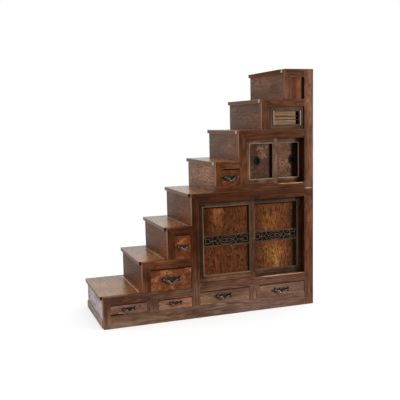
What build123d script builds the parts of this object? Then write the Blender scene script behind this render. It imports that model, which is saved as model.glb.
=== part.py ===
"""Step chest (kaidan-dansu): a chest of drawers and cupboards built as a flight of eight steps.

Two chests stand one on the other: the lower one holds steps 1 to 4, the upper one steps 5 to 8.
Each is a carcass of boards behind a mitred front frame. Millimetres, +Z up. While the pieces are
laid out, X = 0 is the left face of step 1, Y = 0 the front of the frame and Z = 0 the floor;
`export` then moves the whole chest so that its origin is the middle of its footprint.
"""
import os
from collections import namedtuple

from build123d import *

# ---------------------------------------------------------------- driving dimensions, overall
CHEST_RIGHT = 1649.0
CHEST_DEPTH = 626.0
SEAM_HEIGHT = 913.0          # the upper chest stands on the lower one here
FRAME_DEPTH = 40.0           # members of the front frame, front to back
BOARD = 18.0                 # carcass boards
TREAD = 27.0                 # tread boards
NOSING = 14.0                # how far a tread overhangs its riser's post to the left
RISER_SETBACK = 2.0          # risers lie this much behind the post's left face
TREAD_STRIP = 22.0           # the narrow strip that closes a tread against the next riser
RIGHT_POST = 75.0
RIGHT_POST_JOINTS = (658.0, 1355.0)   # heights where the right post's lengths meet
LOWER_BOTTOM_RAIL = 92.0
UPPER_BOTTOM_RAIL = 43.0
SIDE_SILL_HEIGHT = 53.0
SIDE_SILL_OUT = 6.0          # the side sill stands this much outside the frame
ARRIS = 1.2                  # eased edge of every member
THIN_ARRIS = 0.6             # eased edge of the boards behind the frame
BEARER = 24.0                # cross bearers under the treads, front face to back face
FLOOR_BEARER = 60.0
GUIDE = 20.0                 # height of the drawer guides
POST_INSIDE = CHEST_RIGHT - RIGHT_POST

# Each step of the front frame: the left face of its post, the top of its tread, the width of
# the post, the height of the rail under the tread, where the post stands and where the rail ends.
Step = namedtuple("Step", "face top post rail foot rail_end")
STEPS = (
    Step(0.0, 229.0, 52.0, 61.0, 0.0, 665.0),
    Step(288.0, 451.0, 59.0, 59.0, 229.0, 665.0),
    Step(479.0, 682.0, 55.0, 52.0, 451.0, 665.0),
    Step(665.0, 913.0, 50.0, 64.0, LOWER_BOTTOM_RAIL, POST_INSIDE),
    Step(855.0, 1136.0, 50.0, 53.0, SEAM_HEIGHT + UPPER_BOTTOM_RAIL, 1040.0),
    Step(1040.0, 1358.0, 47.0, 64.0, SEAM_HEIGHT + UPPER_BOTTOM_RAIL, POST_INSIDE),
    Step(1225.0, 1580.0, 59.0, 54.0, 1358.0, POST_INSIDE),
    Step(1412.0, 1800.0, 54.0, 60.0, 1580.0, POST_INSIDE),
)
LOWER = STEPS[:4]
UPPER = STEPS[4:]

# ---------------------------------------------------------------- drawers
# Each drawer's opening in the front frame, and the middle and width of its pull.
Drawer = namedtuple("Drawer", "left right low high pull_x pull_z pull_width")
SILL_LOW = 192.0             # underside of the sill of the large cupboard
DRAWERS = (
    Drawer(52.0, 320.0, LOWER_BOTTOM_RAIL, 168.0, 186.0, 131.0, 114.0),
    Drawer(400.0, 655.0, LOWER_BOTTOM_RAIL, 168.0, 528.0, 133.0, 114.0),
    Drawer(347.0, 655.0, 229.0, 392.0, 503.0, 311.0, 166.0),
    Drawer(534.0, 655.0, 451.0, 630.0, 597.0, 542.0, 110.0),
    Drawer(715.0, 1113.0, LOWER_BOTTOM_RAIL, SILL_LOW, 905.0, 146.0, 150.0),
    Drawer(1191.0, POST_INSIDE, LOWER_BOTTOM_RAIL, SILL_LOW, 1377.0, 140.0, 156.0),
    Drawer(905.0, 1040.0, 956.0, 1083.0, 973.0, 1019.0, 128.0),
)
DRAWER_RECESS = 3.0          # drawer fronts lie this far behind the frame
DRAWER_GAP = 1.5
DRAWER_FRONT = 20.0
DRAWER_SIDE = 10.0
DRAWER_BOTTOM = 6.0
DRAWER_LENGTH = 557.0        # back of the drawer, from the front of the frame
DRAWER_BOTTOM_UP = 3.0       # the bottom board's underside, above the opening's floor
DRAWER_RIM = 8.0             # the sides' top edge, below the opening's head
RUNNER_GAP = 0.5
FOOT_GAP = 1.0
SIDE_CLEARANCE = 1.0         # drawer sides lie this much inside the edges of the front
LOWEST_GAP = 5.0             # drawer 1 has dropped at the back, which opens its lower joint

# ---------------------------------------------------------------- iron pulls
PLATE = 2.0
PIVOT_Y = -12.0              # axis of the bails, in front of the frame
EYE_WALL = 2.4
EYE_WIDTH = 6.0
EYE_CLEARANCE = 0.5
EYE_STEM = 2.6               # radius of the eye's stem
EYE_AT = 0.30                # eyes from the pull's middle, as a share of its width
ROD_SHARE = 0.020            # radius of the bail's rod, as a share of the pull's width
ROD_LEAST = 2.7

# ---------------------------------------------------------------- sliding doors
DOOR = 22.0                  # thickness of a sliding door's frame
FRONT_TRACK = 15.0           # face of the door in the front track
REAR_TRACK = 40.0            # face of the door in the rear track
TONGUE = 8.0
TONGUE_SIDE = 7.0            # from the door's face to its tongue
TONGUE_UP = 10.0
TONGUE_DOWN = 3.5
GROOVE_SIDE = 1.0            # a groove is this much wider than the tongue on each side
SILL_GROOVE = 3.0
HEAD_GROOVE = 12.0
OVERCUT = 9.0                # a groove's cutter starts this far outside the member
TRACK_BACK = 66.0            # sill and head reach back to here
DOOR_FOOT_GAP = 1.0
DOOR_HEAD_GAP = 3.0
DOOR_STILE = 45.0
SMALL_END_STILE = 31.0       # the right stile of the small right door
LARGE_OVERLAP = DOOR_STILE   # how far the left door reaches over the right one
SMALL_OVERLAP = 63.0
LARGE_BEVEL = 9.0            # bevel round the inside of a door's frame
SMALL_BEVEL = 6.0
LARGE_PANEL_SET = 12.0       # panels lie this far behind the door's face
SMALL_PANEL_SET = 15.0
PANEL = 7.0

LARGE_SILL = 257.0
TRACK_LOW = 212.0            # underside of the rear track's sill
LARGE_HEAD = STEPS[3].top - STEPS[3].rail
LARGE_LEFT = STEPS[3].face + STEPS[3].post
SMALL_SILL = SEAM_HEIGHT + UPPER_BOTTOM_RAIL
SMALL_HEAD = STEPS[5].top - STEPS[5].rail
SMALL_LEFT = STEPS[5].face + STEPS[5].post
WINDOW_HEAD = STEPS[6].top - STEPS[6].rail
TOP_HEAD = STEPS[7].top - STEPS[7].rail
LARGE_RAILS = (50.0, 38.0)   # bottom and top rail of a large door
SMALL_RAILS = (40.0, 36.0)
BAND_LOW = 515.0             # the openwork band across each large door
BAND_HIGH = 597.0
BATTEN = 9.0                 # battens above and below the pierced strip
BATTEN_SET = 9.5             # they lie this far behind the door's face
PIERCED_OUT = 1.0            # the pierced strip stands out from the panels by this much
PIERCED_BACK = 3.0

# ---------------------------------------------------------------- lift-out doors
WINDOW_FACE = 7.0            # face of the window door, behind the front of the frame
TOP_FACE = 10.0              # face of the top door
LIFT_DOOR = 16.0
LIFT_TONGUE = 6.0
LIFT_TONGUE_SIDE = 3.0
LIFT_TONGUE_UP = 8.0
WINDOW = (1326.0, 1533.0, 1394.0, 1490.0)    # opening in the window door: left, right, low, high
WINDOW_BEVEL = 4.0
WINDOW_BARS = (1429.0, 1454.0)
WINDOW_BAR = 5.5
BAR_SET = 4.0                # bars lie this far behind the door's face
SHUTTER = (1298.0, 1515.0, 1385.0, 1499.0)
SHUTTER_THICK = 6.0
SHUTTER_PLAY = 0.5
SHUTTER_BATTEN = 11.0
SHUTTER_LIP = 7.0            # the keepers reach this far over the shutter
KEEPER = 3.0

# ---------------------------------------------------------------- finger cups of the small doors
CUP_PLATE = (25.0, 33.0)     # half width and half height of the oval plate
CUP_FINIAL = 4.0             # radius of the point above and below it
CUP = 17.0
CUP_WALL = 1.5
CUP_DEPTH = 6.0
CUP_HEIGHT = 1129.0
CUP_XS = (1194.0, 1490.0)

WIDEST_PULL = max(drawer.pull_width for drawer in DRAWERS)
PULL_FRONT = PIVOT_Y - max(ROD_LEAST, ROD_SHARE * WIDEST_PULL) - EYE_WALL
ORIGIN_X = (CHEST_RIGHT - NOSING) / 2
ORIGIN_Y = (CHEST_DEPTH + PULL_FRONT) / 2
BACK_BOARDS_Y = CHEST_DEPTH - BOARD
END_BOARD_X = CHEST_RIGHT - RISER_SETBACK - BOARD


# ================================================================ building blocks
def board(x0, x1, y0, y1, z0, z1, arris=ARRIS):
    """A straight board between two corners, with its edges eased."""
    solid = Pos((x0 + x1) / 2, (y0 + y1) / 2, (z0 + z1) / 2) * Box(x1 - x0, y1 - y0, z1 - z0)
    return chamfer(solid.edges(), arris) if arris else solid


def slab(outline, y0, y1):
    """An outline drawn as seen from the front, (x, z), made into a slab from y0 back to y1."""
    return extrude(Plane.XZ.offset(-y0) * outline, y1 - y0, dir=(0, 1, 0))


def face_member(*corners):
    """A member of the front frame with mitred ends, from its corners seen from the front."""
    member = slab(Polygon(*corners, align=None), 0, FRAME_DEPTH)
    return chamfer(member.edges(), ARRIS)


def groove(x0, x1, face, tongue_side, tongue, z0, z1):
    """The space that a door's tongue runs in, with clearance on both sides."""
    y0 = face + tongue_side - GROOVE_SIDE
    return board(x0, x1, y0, y0 + tongue + 2 * GROOVE_SIDE, z0, z1, 0)


def step_post(step):
    """A step's left post, mitred into its rail at the top."""
    x0, x1 = step.face, step.face + step.post
    return face_member((x0, step.foot), (x1, step.foot), (x1, step.top - step.rail), (x0, step.top))


def step_rail(step):
    """The rail under a step's tread, mitred into the post at its left."""
    low = step.top - step.rail
    left, right = step.face, step.rail_end
    return face_member((left, step.top), (left + step.post, low), (right, low), (right, step.top))


def tread(step, right):
    """A tread board with its nosing, and the narrow strip that closes it against the next riser."""
    seam = right - BOARD - RISER_SETBACK - TREAD_STRIP
    low = step.top - TREAD
    wide = board(step.face - NOSING, seam, FRAME_DEPTH, CHEST_DEPTH, low, step.top)
    strip = board(seam, right, FRAME_DEPTH, CHEST_DEPTH, low, step.top, THIN_ARRIS)
    return [wide, strip]


def riser(step, foot):
    """The upright board at the left of a step, from the tread below to the tread above."""
    x0 = step.face + RISER_SETBACK
    return board(x0, x0 + BOARD, FRAME_DEPTH, CHEST_DEPTH, foot, step.top - TREAD, THIN_ARRIS)


def behind(step):
    """X of the inner face of a step's riser."""
    return step.face + RISER_SETBACK + BOARD


def inner(x0, x1, z0, z1, y0=FRAME_DEPTH):
    """A carcass board between the front frame and the back boards."""
    return board(x0, x1, y0, BACK_BOARDS_Y, z0, z1, 0)


def bearer(right, high, y0=FRAME_DEPTH):
    """A cross bearer under the joint of a tread and a riser."""
    return inner(right - BEARER, right, high - BOARD, high, y0)


def floor_bearer(middle):
    """Left and right of a bearer under a chest's floor."""
    return middle - FLOOR_BEARER / 2, middle + FLOOR_BEARER / 2


def back_board(x0, x1, z0, z1):
    return board(x0, x1, BACK_BOARDS_Y, CHEST_DEPTH, z0, z1, THIN_ARRIS)


def right_post(low, joint, high):
    """The right corner post, in two lengths."""
    return [
        board(POST_INSIDE, CHEST_RIGHT, 0, FRAME_DEPTH, low, joint),
        board(POST_INSIDE, CHEST_RIGHT, 0, FRAME_DEPTH, joint, high),
    ]


# ================================================================ lower chest
def lower_treads():
    """Treads 1 to 4; the fourth goes on under the upper chest as its top board."""
    rights = [behind(step) for step in LOWER[1:]] + [behind(UPPER[0])]
    nodes = {}
    for number, (step, right) in enumerate(zip(LOWER, rights), start=1):
        nodes[f"step_{number}_tread"] = tread(step, right)
    top = LOWER[3].top
    nodes["step_4_tread"].append(
        board(rights[-1], CHEST_RIGHT - RISER_SETBACK, FRAME_DEPTH, CHEST_DEPTH, top - TREAD, top)
    )
    return nodes


def lower_frame():
    """Posts and rails of the lower front frame, with the sill and head of the large cupboard."""
    posts = [step_post(step) for step in LOWER]
    posts += right_post(0, RIGHT_POST_JOINTS[0], SEAM_HEIGHT)
    for left, right in ((DRAWERS[0], DRAWERS[1]), (DRAWERS[4], DRAWERS[5])):
        posts.append(board(left.right, right.left, 0, FRAME_DEPTH, left.low, left.high))
    for drawer in DRAWERS[1:4]:
        posts.append(
            board(drawer.right, LOWER[3].face, 0, FRAME_DEPTH, drawer.low, drawer.high, THIN_ARRIS)
        )

    wide = (LARGE_LEFT, POST_INSIDE)
    at_sill = (LARGE_SILL - SILL_GROOVE, LARGE_SILL + OVERCUT)
    at_head = (LARGE_HEAD - OVERCUT, LARGE_HEAD + HEAD_GROOVE)
    front_groove = groove(*wide, FRONT_TRACK, TONGUE_SIDE, TONGUE, *at_sill)
    rear_groove = groove(*wide, REAR_TRACK, TONGUE_SIDE, TONGUE, *at_sill)
    front_head = groove(*wide, FRONT_TRACK, TONGUE_SIDE, TONGUE, *at_head)
    rear_head = groove(*wide, REAR_TRACK, TONGUE_SIDE, TONGUE, *at_head)
    inside = behind(LOWER[3])
    under_tread = LOWER[3].top - TREAD
    rails = [
        board(LOWER[0].post, POST_INSIDE, 0, FRAME_DEPTH, 0, LOWER_BOTTOM_RAIL),
        step_rail(LOWER[0]),
        step_rail(LOWER[1]),
        step_rail(LOWER[2]),
        step_rail(LOWER[3]) - front_head,
        board(inside, END_BOARD_X, FRAME_DEPTH, TRACK_BACK, LARGE_HEAD, under_tread, 0) - rear_head,
        board(LARGE_LEFT, POST_INSIDE, 0, FRAME_DEPTH, SILL_LOW, LARGE_SILL) - front_groove,
        board(inside, END_BOARD_X, FRAME_DEPTH, TRACK_BACK, TRACK_LOW, LARGE_SILL, 0) - rear_groove,
    ]
    return {"lower_posts": posts, "lower_rails": rails}


def lower_carcass():
    """Risers, sill, end, back, floors, partitions and drawer guides of the lower chest."""
    feet = [SIDE_SILL_HEIGHT] + [step.top for step in LOWER[:3]]
    floor = LOWER_BOTTOM_RAIL
    inside = [behind(step) for step in LOWER]
    wall = LOWER[3].face + RISER_SETBACK
    stile_wall = (351.0, 369.0)
    sill_wall = (1143.0, 1161.0)
    last_bay = (END_BOARD_X - inside[3]) / 4
    backs = [
        back_board(inside[0], inside[1], 0, LOWER[0].top - TREAD),
        back_board(inside[1], inside[2], 0, LOWER[1].top - TREAD),
        back_board(inside[2], inside[3], 0, LOWER[2].top - TREAD),
    ]
    backs += [
        back_board(inside[3] + i * last_bay, inside[3] + (i + 1) * last_bay, 0, LOWER[3].top - TREAD)
        for i in range(4)
    ]
    end = (END_BOARD_X, END_BOARD_X + BOARD)
    dust_2, dust_3 = LOWER[0].top, LOWER[1].top
    return {
        "lower_risers": [riser(step, foot) for step, foot in zip(LOWER, feet)],
        "lower_side_sill": [
            board(-SIDE_SILL_OUT, inside[0], FRAME_DEPTH, CHEST_DEPTH, 0, SIDE_SILL_HEIGHT, 2.0),
        ],
        "lower_end_panel": [
            board(*end, FRAME_DEPTH, CHEST_DEPTH, 0, LOWER[3].top - TREAD, THIN_ARRIS),
        ],
        "lower_back_boards": backs,
        "lower_floors": [
            inner(inside[0], END_BOARD_X, floor - BOARD, floor),
            inner(inside[1], wall, dust_2 - BOARD, dust_2),
            inner(inside[2], wall, dust_3 - BOARD, dust_3),
            inner(inside[3], END_BOARD_X, LARGE_SILL - BOARD, LARGE_SILL, TRACK_BACK),
            bearer(inside[1], LOWER[0].top - TREAD),
            bearer(inside[2], LOWER[1].top - TREAD),
            inner(*floor_bearer(inside[3]), 0, floor - BOARD),
            inner(*floor_bearer(sum(sill_wall) / 2), 0, floor - BOARD),
        ],
        "lower_partitions": [
            inner(*stile_wall, floor, dust_2 - BOARD),
            inner(wall, inside[3], floor, LOWER[2].top - TREAD),
            inner(*sill_wall, floor, TRACK_LOW),
            inner(*sill_wall, TRACK_LOW, LARGE_SILL - BOARD, TRACK_BACK),
        ],
        "lower_drawer_guides": [
            inner(inside[0], DRAWERS[0].left, floor, floor + GUIDE),
            inner(DRAWERS[0].right, stile_wall[0], floor, floor + GUIDE),
            inner(stile_wall[1], DRAWERS[1].left, floor, floor + GUIDE),
            inner(DRAWERS[1].right, wall, floor, floor + GUIDE),
            inner(inside[1], DRAWERS[2].left, dust_2, dust_2 + GUIDE),
            inner(DRAWERS[2].right, wall, dust_2, dust_2 + GUIDE),
            inner(inside[2], DRAWERS[3].left, dust_3, dust_3 + GUIDE),
            inner(DRAWERS[3].right, wall, dust_3, dust_3 + GUIDE),
            inner(inside[3], DRAWERS[4].left, floor, floor + GUIDE),
            inner(DRAWERS[4].right, sill_wall[0], floor, floor + GUIDE),
            inner(sill_wall[1], DRAWERS[5].left, floor, floor + GUIDE),
            inner(DRAWERS[5].right, END_BOARD_X, floor, floor + GUIDE),
        ],
    }


# ================================================================ upper chest
def upper_treads():
    nodes = {}
    for number, (step, above) in enumerate(zip(UPPER, UPPER[1:]), start=5):
        nodes[f"step_{number}_tread"] = tread(step, behind(above))
    left, right, top = UPPER[3].face - NOSING, CHEST_RIGHT - RISER_SETBACK, UPPER[3].top
    nodes["step_8_tread"] = [
        board(left, right, FRAME_DEPTH, CHEST_DEPTH, top - TREAD, top)
    ]
    return nodes


def upper_frame():
    """Posts and rails of the upper front frame, grooved for the sliding and lift-out doors."""
    posts = [step_post(step) for step in UPPER]
    posts += right_post(SEAM_HEIGHT, RIGHT_POST_JOINTS[1], UPPER[3].top)
    small = (SMALL_LEFT, POST_INSIDE)
    foot = SMALL_SILL - SILL_GROOVE
    head = SMALL_HEAD + HEAD_GROOVE
    window_left = UPPER[2].face + UPPER[2].post
    top_left = UPPER[3].face + UPPER[3].post

    bottom = board(UPPER[0].face, POST_INSIDE, 0, FRAME_DEPTH, SEAM_HEIGHT, SMALL_SILL)
    bottom -= groove(*small, FRONT_TRACK, TONGUE_SIDE, TONGUE, foot, SMALL_SILL + OVERCUT)
    rail_6 = step_rail(UPPER[1])
    rail_6 -= groove(*small, FRONT_TRACK, TONGUE_SIDE, TONGUE, SMALL_HEAD - OVERCUT, head)
    rail_6 -= groove(window_left, POST_INSIDE, WINDOW_FACE, LIFT_TONGUE_SIDE, LIFT_TONGUE,
                     UPPER[1].top - SILL_GROOVE, UPPER[1].top + OVERCUT)
    rail_7 = step_rail(UPPER[2])
    rail_7 -= groove(window_left, POST_INSIDE, WINDOW_FACE, LIFT_TONGUE_SIDE, LIFT_TONGUE,
                     WINDOW_HEAD - OVERCUT, WINDOW_HEAD + HEAD_GROOVE)
    rail_7 -= groove(top_left, POST_INSIDE, TOP_FACE, LIFT_TONGUE_SIDE, LIFT_TONGUE,
                     UPPER[2].top - SILL_GROOVE, UPPER[2].top + OVERCUT)
    rail_8 = step_rail(UPPER[3])
    rail_8 -= groove(top_left, POST_INSIDE, TOP_FACE, LIFT_TONGUE_SIDE, LIFT_TONGUE,
                     TOP_HEAD - OVERCUT, TOP_HEAD + HEAD_GROOVE)
    inside = behind(UPPER[1])
    sill_track = board(inside, END_BOARD_X, FRAME_DEPTH, TRACK_BACK, SEAM_HEIGHT, SMALL_SILL, 0)
    sill_track -= groove(*small, REAR_TRACK, TONGUE_SIDE, TONGUE, foot, SMALL_SILL + OVERCUT)
    head_track = board(inside, END_BOARD_X, FRAME_DEPTH, TRACK_BACK, SMALL_HEAD, UPPER[1].top - TREAD, 0)
    head_track -= groove(*small, REAR_TRACK, TONGUE_SIDE, TONGUE, SMALL_HEAD - OVERCUT, head)
    rails = [bottom, step_rail(UPPER[0]), rail_6, rail_7, rail_8, sill_track, head_track]
    return {"upper_posts": posts, "upper_rails": rails}


def upper_carcass():
    inside = [behind(step) for step in UPPER]
    floor = SMALL_SILL
    feet = [SEAM_HEIGHT] + [step.top for step in UPPER[:3]]
    rights = inside[1:] + [END_BOARD_X]
    end = (END_BOARD_X, END_BOARD_X + BOARD)
    drawer = DRAWERS[6]
    return {
        "upper_risers": [riser(step, foot) for step, foot in zip(UPPER, feet)],
        "upper_end_panel": [
            board(*end, FRAME_DEPTH, CHEST_DEPTH, SEAM_HEIGHT, UPPER[3].top - TREAD, THIN_ARRIS),
        ],
        "upper_back_boards": [
            back_board(left, right, SEAM_HEIGHT, step.top - TREAD)
            for left, right, step in zip(inside, rights, UPPER)
        ],
        "upper_floors": [
            inner(inside[0], inside[1], floor - BOARD, floor),
            inner(inside[1], END_BOARD_X, floor - BOARD, floor, TRACK_BACK),
            inner(inside[2], END_BOARD_X, UPPER[1].top - BOARD, UPPER[1].top),
            inner(inside[3], END_BOARD_X, UPPER[2].top - BOARD, UPPER[2].top),
            bearer(inside[2], UPPER[1].top - TREAD, TRACK_BACK),
            bearer(inside[3], UPPER[2].top - TREAD),
            inner(*floor_bearer(inside[1] + FLOOR_BEARER), SEAM_HEIGHT, floor - BOARD, TRACK_BACK),
            inner(*floor_bearer(END_BOARD_X - FLOOR_BEARER), SEAM_HEIGHT, floor - BOARD, TRACK_BACK),
            inner(inside[0], drawer.left, floor, floor + GUIDE),
        ],
        "upper_partitions": [
            inner(UPPER[1].face + RISER_SETBACK, inside[1], floor, UPPER[0].top - TREAD),
        ],
    }


# ================================================================ drawers and their pulls
def drawer_box(drawer, foot_gap):
    """Front, two sides, back and bottom of one drawer."""
    x0, x1 = drawer.left + DRAWER_GAP, drawer.right - DRAWER_GAP
    low, high = drawer.low, drawer.high
    fronts_back = DRAWER_RECESS + DRAWER_FRONT
    lip = high - DRAWER_GAP
    outline = Polygon((x0, low + foot_gap), (x1, low + FOOT_GAP), (x1, lip), (x0, lip), align=None)
    front = slab(outline, DRAWER_RECESS, fronts_back)
    left, right = x0 + SIDE_CLEARANCE, x1 - SIDE_CLEARANCE
    between = (left + DRAWER_SIDE, right - DRAWER_SIDE)
    rim = high - DRAWER_RIM
    bottom = low + DRAWER_BOTTOM_UP
    floor = bottom + DRAWER_BOTTOM
    back = (DRAWER_LENGTH - DRAWER_SIDE, DRAWER_LENGTH)
    return [
        chamfer(front.edges(), ARRIS),
        board(left, between[0], fronts_back, DRAWER_LENGTH, low + RUNNER_GAP, rim, 0),
        board(between[1], right, fronts_back, DRAWER_LENGTH, low + RUNNER_GAP, rim, 0),
        board(*between, *back, floor, rim - DRAWER_BOTTOM, 0),
        board(*between, fronts_back, DRAWER_LENGTH, bottom, floor, 0),
    ]


def rod_radius(width):
    return max(ROD_LEAST, ROD_SHARE * width)


def pull_plates(drawer):
    """Two lobed plates, the shield between them, and the two eyes that carry the bail."""
    width = drawer.pull_width
    middle = Pos(drawer.pull_x, drawer.pull_z)
    lobe = 0.072 * width
    side = Circle(0.085 * width)
    for angle in range(4):
        side += Rot(0, 0, 90 * angle) * Pos(0.055 * width, 0) * Circle(lobe)
    side += Pos(0.10 * width, 0) * Rot(0, 0, 45) * Rectangle(0.062 * width, 0.062 * width)
    shield = Polygon(
        (-0.16 * width, 0.12 * width), (-0.13 * width, -0.03 * width), (0, -0.165 * width),
        (0.13 * width, -0.03 * width), (0.16 * width, 0.12 * width), (0, 0.085 * width), align=None,
    )
    shield = fillet(shield.vertices(), 0.016 * width)
    y0, y1 = DRAWER_RECESS - PLATE, DRAWER_RECESS
    plates = [slab(middle * shield, y0, y1)]
    for hand in (-1, 1):
        turned = side if hand == 1 else mirror(side, Plane.YZ)
        plates.append(slab(middle * Pos(hand * 0.352 * width, 0) * turned, y0, y1))
        plates.append(pull_eye(drawer.pull_x + hand * EYE_AT * width, drawer.pull_z, width))
    return plates


def pull_eye(x, z, width):
    """An eye on a stem that stands out from the plate."""
    hole = rod_radius(width) + EYE_CLEARANCE
    ring = hole + EYE_WALL - EYE_CLEARANCE
    stem_back = DRAWER_RECESS - PLATE
    stem_length = stem_back - PIVOT_Y - hole
    axis = Pos(x, PIVOT_Y, z) * Rot(0, 90, 0)
    stem = Pos(x, stem_back - stem_length / 2, z) * Rot(90, 0, 0) * Cylinder(EYE_STEM, stem_length)
    return axis * Cylinder(ring, EYE_WIDTH) + stem - axis * Cylinder(hole, EYE_WIDTH + 2)


def bail(drawer):
    """The swinging handle: level through both eyes, dipped in the middle, its ends curled up."""
    width = drawer.pull_width
    half = [(0.400, 0.050), (0.375, 0.0), (0.215, 0.0), (0.060, -0.172)]
    shares = [(-x, z) for x, z in half] + [(x, z) for x, z in reversed(half)]
    radii = [0.036, 0.045, 0.075, 0.075, 0.045, 0.036]
    points = [(drawer.pull_x + x * width, PIVOT_Y, drawer.pull_z + z * width) for x, z in shares]
    path = FilletPolyline(*points, radius=[r * width for r in radii])
    start = Plane(origin=path @ 0, z_dir=path % 0)
    return sweep(start * Circle(rod_radius(width)), path=path)


def drawers():
    nodes = {}
    for number, drawer in enumerate(DRAWERS, start=1):
        foot_gap = LOWEST_GAP if number == 1 else FOOT_GAP
        nodes[f"drawer_{number}"] = drawer_box(drawer, foot_gap)
        nodes[f"drawer_{number}_plates"] = pull_plates(drawer)
        nodes[f"drawer_{number}_bail"] = [bail(drawer)]
    return nodes


# ================================================================ doors
def door_frame(x0, x1, z0, z1, face, thickness, sides, bevel):
    """Stiles and rails of a door, mitred at the corners; sides = left, right, bottom, top widths."""
    left, right, bottom, top = sides
    i0, i1, k0, k1 = x0 + left, x1 - right, z0 + bottom, z1 - top
    outer = Polygon((x0, z0), (x1, z0), (x1, z1), (x0, z1), align=None)
    opening = Polygon((i0, k0), (i1, k0), (i1, k1), (i0, k1), align=None)
    ring = slab(outer - opening, face, face + thickness)
    front = ring.faces().sort_by(Axis.Y)[0]
    ring = chamfer(front.inner_wires()[0].edges(), bevel)
    members = (
        ((x0, z0), (i0, k0), (i0, k1), (x0, z1)),
        ((x1, z0), (i1, k0), (i1, k1), (x1, z1)),
        ((x0, z0), (x1, z0), (i1, k0), (i0, k0)),
        ((x0, z1), (x1, z1), (i1, k1), (i0, k1)),
    )
    return [ring & slab(Polygon(*corners, align=None), face, face + thickness) for corners in members]


def tongues(x0, x1, z0, z1, y0, thickness, up):
    """The strips above and below a door that run in the head's and the sill's grooves."""
    return [
        board(x0, x1, y0, y0 + thickness, z0 - TONGUE_DOWN, z0, 0),
        board(x0, x1, y0, y0 + thickness, z1, z1 + up, 0),
    ]


def star(across, tall, waist):
    """A four-pointed star with straight, hollow sides."""
    return Polygon(
        (0, tall), (waist, waist * 1.5), (across, 0), (waist, -waist * 1.5),
        (0, -tall), (-waist, -waist * 1.5), (-across, 0), (-waist, waist * 1.5), align=None,
    )


def openwork(x0, x1, z0, z1, y0, y1):
    """A pierced strip: a ring at each end, stars and dots between, and an eye in the middle."""
    half, tall = (x1 - x0) / 2, (z1 - z0) / 2
    ring_x = half - 33
    pierced = Rectangle(2 * half, 2 * tall) - Circle(6)
    for hand in (-1, 1):
        pierced -= Pos(hand * ring_x, 0) * Circle(19)
        pierced -= Pos(hand * ring_x, 0) * (Rectangle(50, 50) - Circle(26.5))
        pierced -= Pos(hand * 0.68 * ring_x, 0) * star(15, 24, 5)
        pierced -= Pos(hand * 0.42 * ring_x, 0) * star(17, 28, 6)
        pierced -= Pos(hand * 23, 0) * star(10, 7, 4)
        for edge in (-1, 1):
            pierced -= Pos(hand * 0.55 * ring_x, edge * 19) * Circle(7)
            pierced -= Pos(hand * 0.285 * ring_x, edge * 21) * Circle(6)
    upper_half = Pos(0, tall + 8) * Rectangle(90, 2 * tall)
    crescent = (Pos(0, -20) * Circle(46) - Pos(0, -28) * Circle(44)) & upper_half
    pierced -= crescent
    pierced -= mirror(crescent, Plane.XZ)
    return slab(Pos((x0 + x1) / 2, (z0 + z1) / 2) * pierced, y0, y1)


def large_door(name, x0, x1, face):
    z0, z1 = LARGE_SILL + DOOR_FOOT_GAP, LARGE_HEAD - DOOR_HEAD_GAP
    sides = (DOOR_STILE, DOOR_STILE) + LARGE_RAILS
    i0, i1 = x0 + DOOR_STILE, x1 - DOOR_STILE
    k0, k1 = z0 + LARGE_RAILS[0], z1 - LARGE_RAILS[1]
    panel = face + LARGE_PANEL_SET
    back = panel + PANEL
    low, high = BAND_LOW + BATTEN, BAND_HIGH - BATTEN
    batten_face = face + BATTEN_SET
    return {
        f"{name}_frame": door_frame(x0, x1, z0, z1, face, DOOR, sides, LARGE_BEVEL)
        + tongues(x0, x1, z0, z1, face + TONGUE_SIDE, TONGUE, TONGUE_UP),
        f"{name}_panels": [
            board(i0, i1, panel, back, k0, BAND_LOW, 0),
            board(i0, i1, panel, back, BAND_HIGH, k1, 0),
        ],
        f"{name}_band": [
            board(i0, i1, batten_face, back, BAND_LOW, low, THIN_ARRIS),
            board(i0, i1, batten_face, back, high, BAND_HIGH, THIN_ARRIS),
            board(i0, i1, panel + PIERCED_BACK, back, low, high, 0),
            openwork(i0, i1, low, high, panel - PIERCED_OUT, panel + PIERCED_BACK),
        ],
    }


def finger_cup(x, z, panel):
    """An oval iron plate with two finials round a cup let into the panel."""
    outline = Ellipse(*CUP_PLATE)
    for hand in (-1, 1):
        outline += Pos(0, hand * CUP_PLATE[1]) * Circle(CUP_FINIAL)
    plate = slab(Pos(x, z) * (outline - Circle(CUP - CUP_WALL)), panel - CUP_WALL, panel)
    cup = slab(Pos(x, z) * Circle(CUP), panel - CUP_WALL, panel + CUP_DEPTH)
    hollow = slab(Pos(x, z) * Circle(CUP - CUP_WALL), panel - CUP_WALL, panel + CUP_DEPTH - CUP_WALL)
    return plate + cup - hollow


def small_door(name, x0, x1, right_stile, face, cup_x):
    z0, z1 = SMALL_SILL + DOOR_FOOT_GAP, SMALL_HEAD - DOOR_HEAD_GAP
    sides = (DOOR_STILE, right_stile) + SMALL_RAILS
    panel = face + SMALL_PANEL_SET
    back = panel + PANEL
    body = board(x0 + sides[0], x1 - sides[1], panel, back, z0 + sides[2], z1 - sides[3], 0)
    return {
        f"{name}_frame": door_frame(x0, x1, z0, z1, face, DOOR, sides, SMALL_BEVEL)
        + tongues(x0, x1, z0, z1, face + TONGUE_SIDE, TONGUE, TONGUE_UP),
        f"{name}_panel": [body - slab(Pos(cup_x, CUP_HEIGHT) * Circle(CUP), face, back + OVERCUT)],
        f"{name}_pull": [finger_cup(cup_x, CUP_HEIGHT, panel)],
    }


def pair(left, right, overlap):
    """The two doors of a cupboard, alike in width, where the left one laps over the right one."""
    width = (right - left + overlap) / 2 - 1
    return (left + 0.5, left + 0.5 + width), (right - 0.5 - width, right - 0.5)


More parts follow.
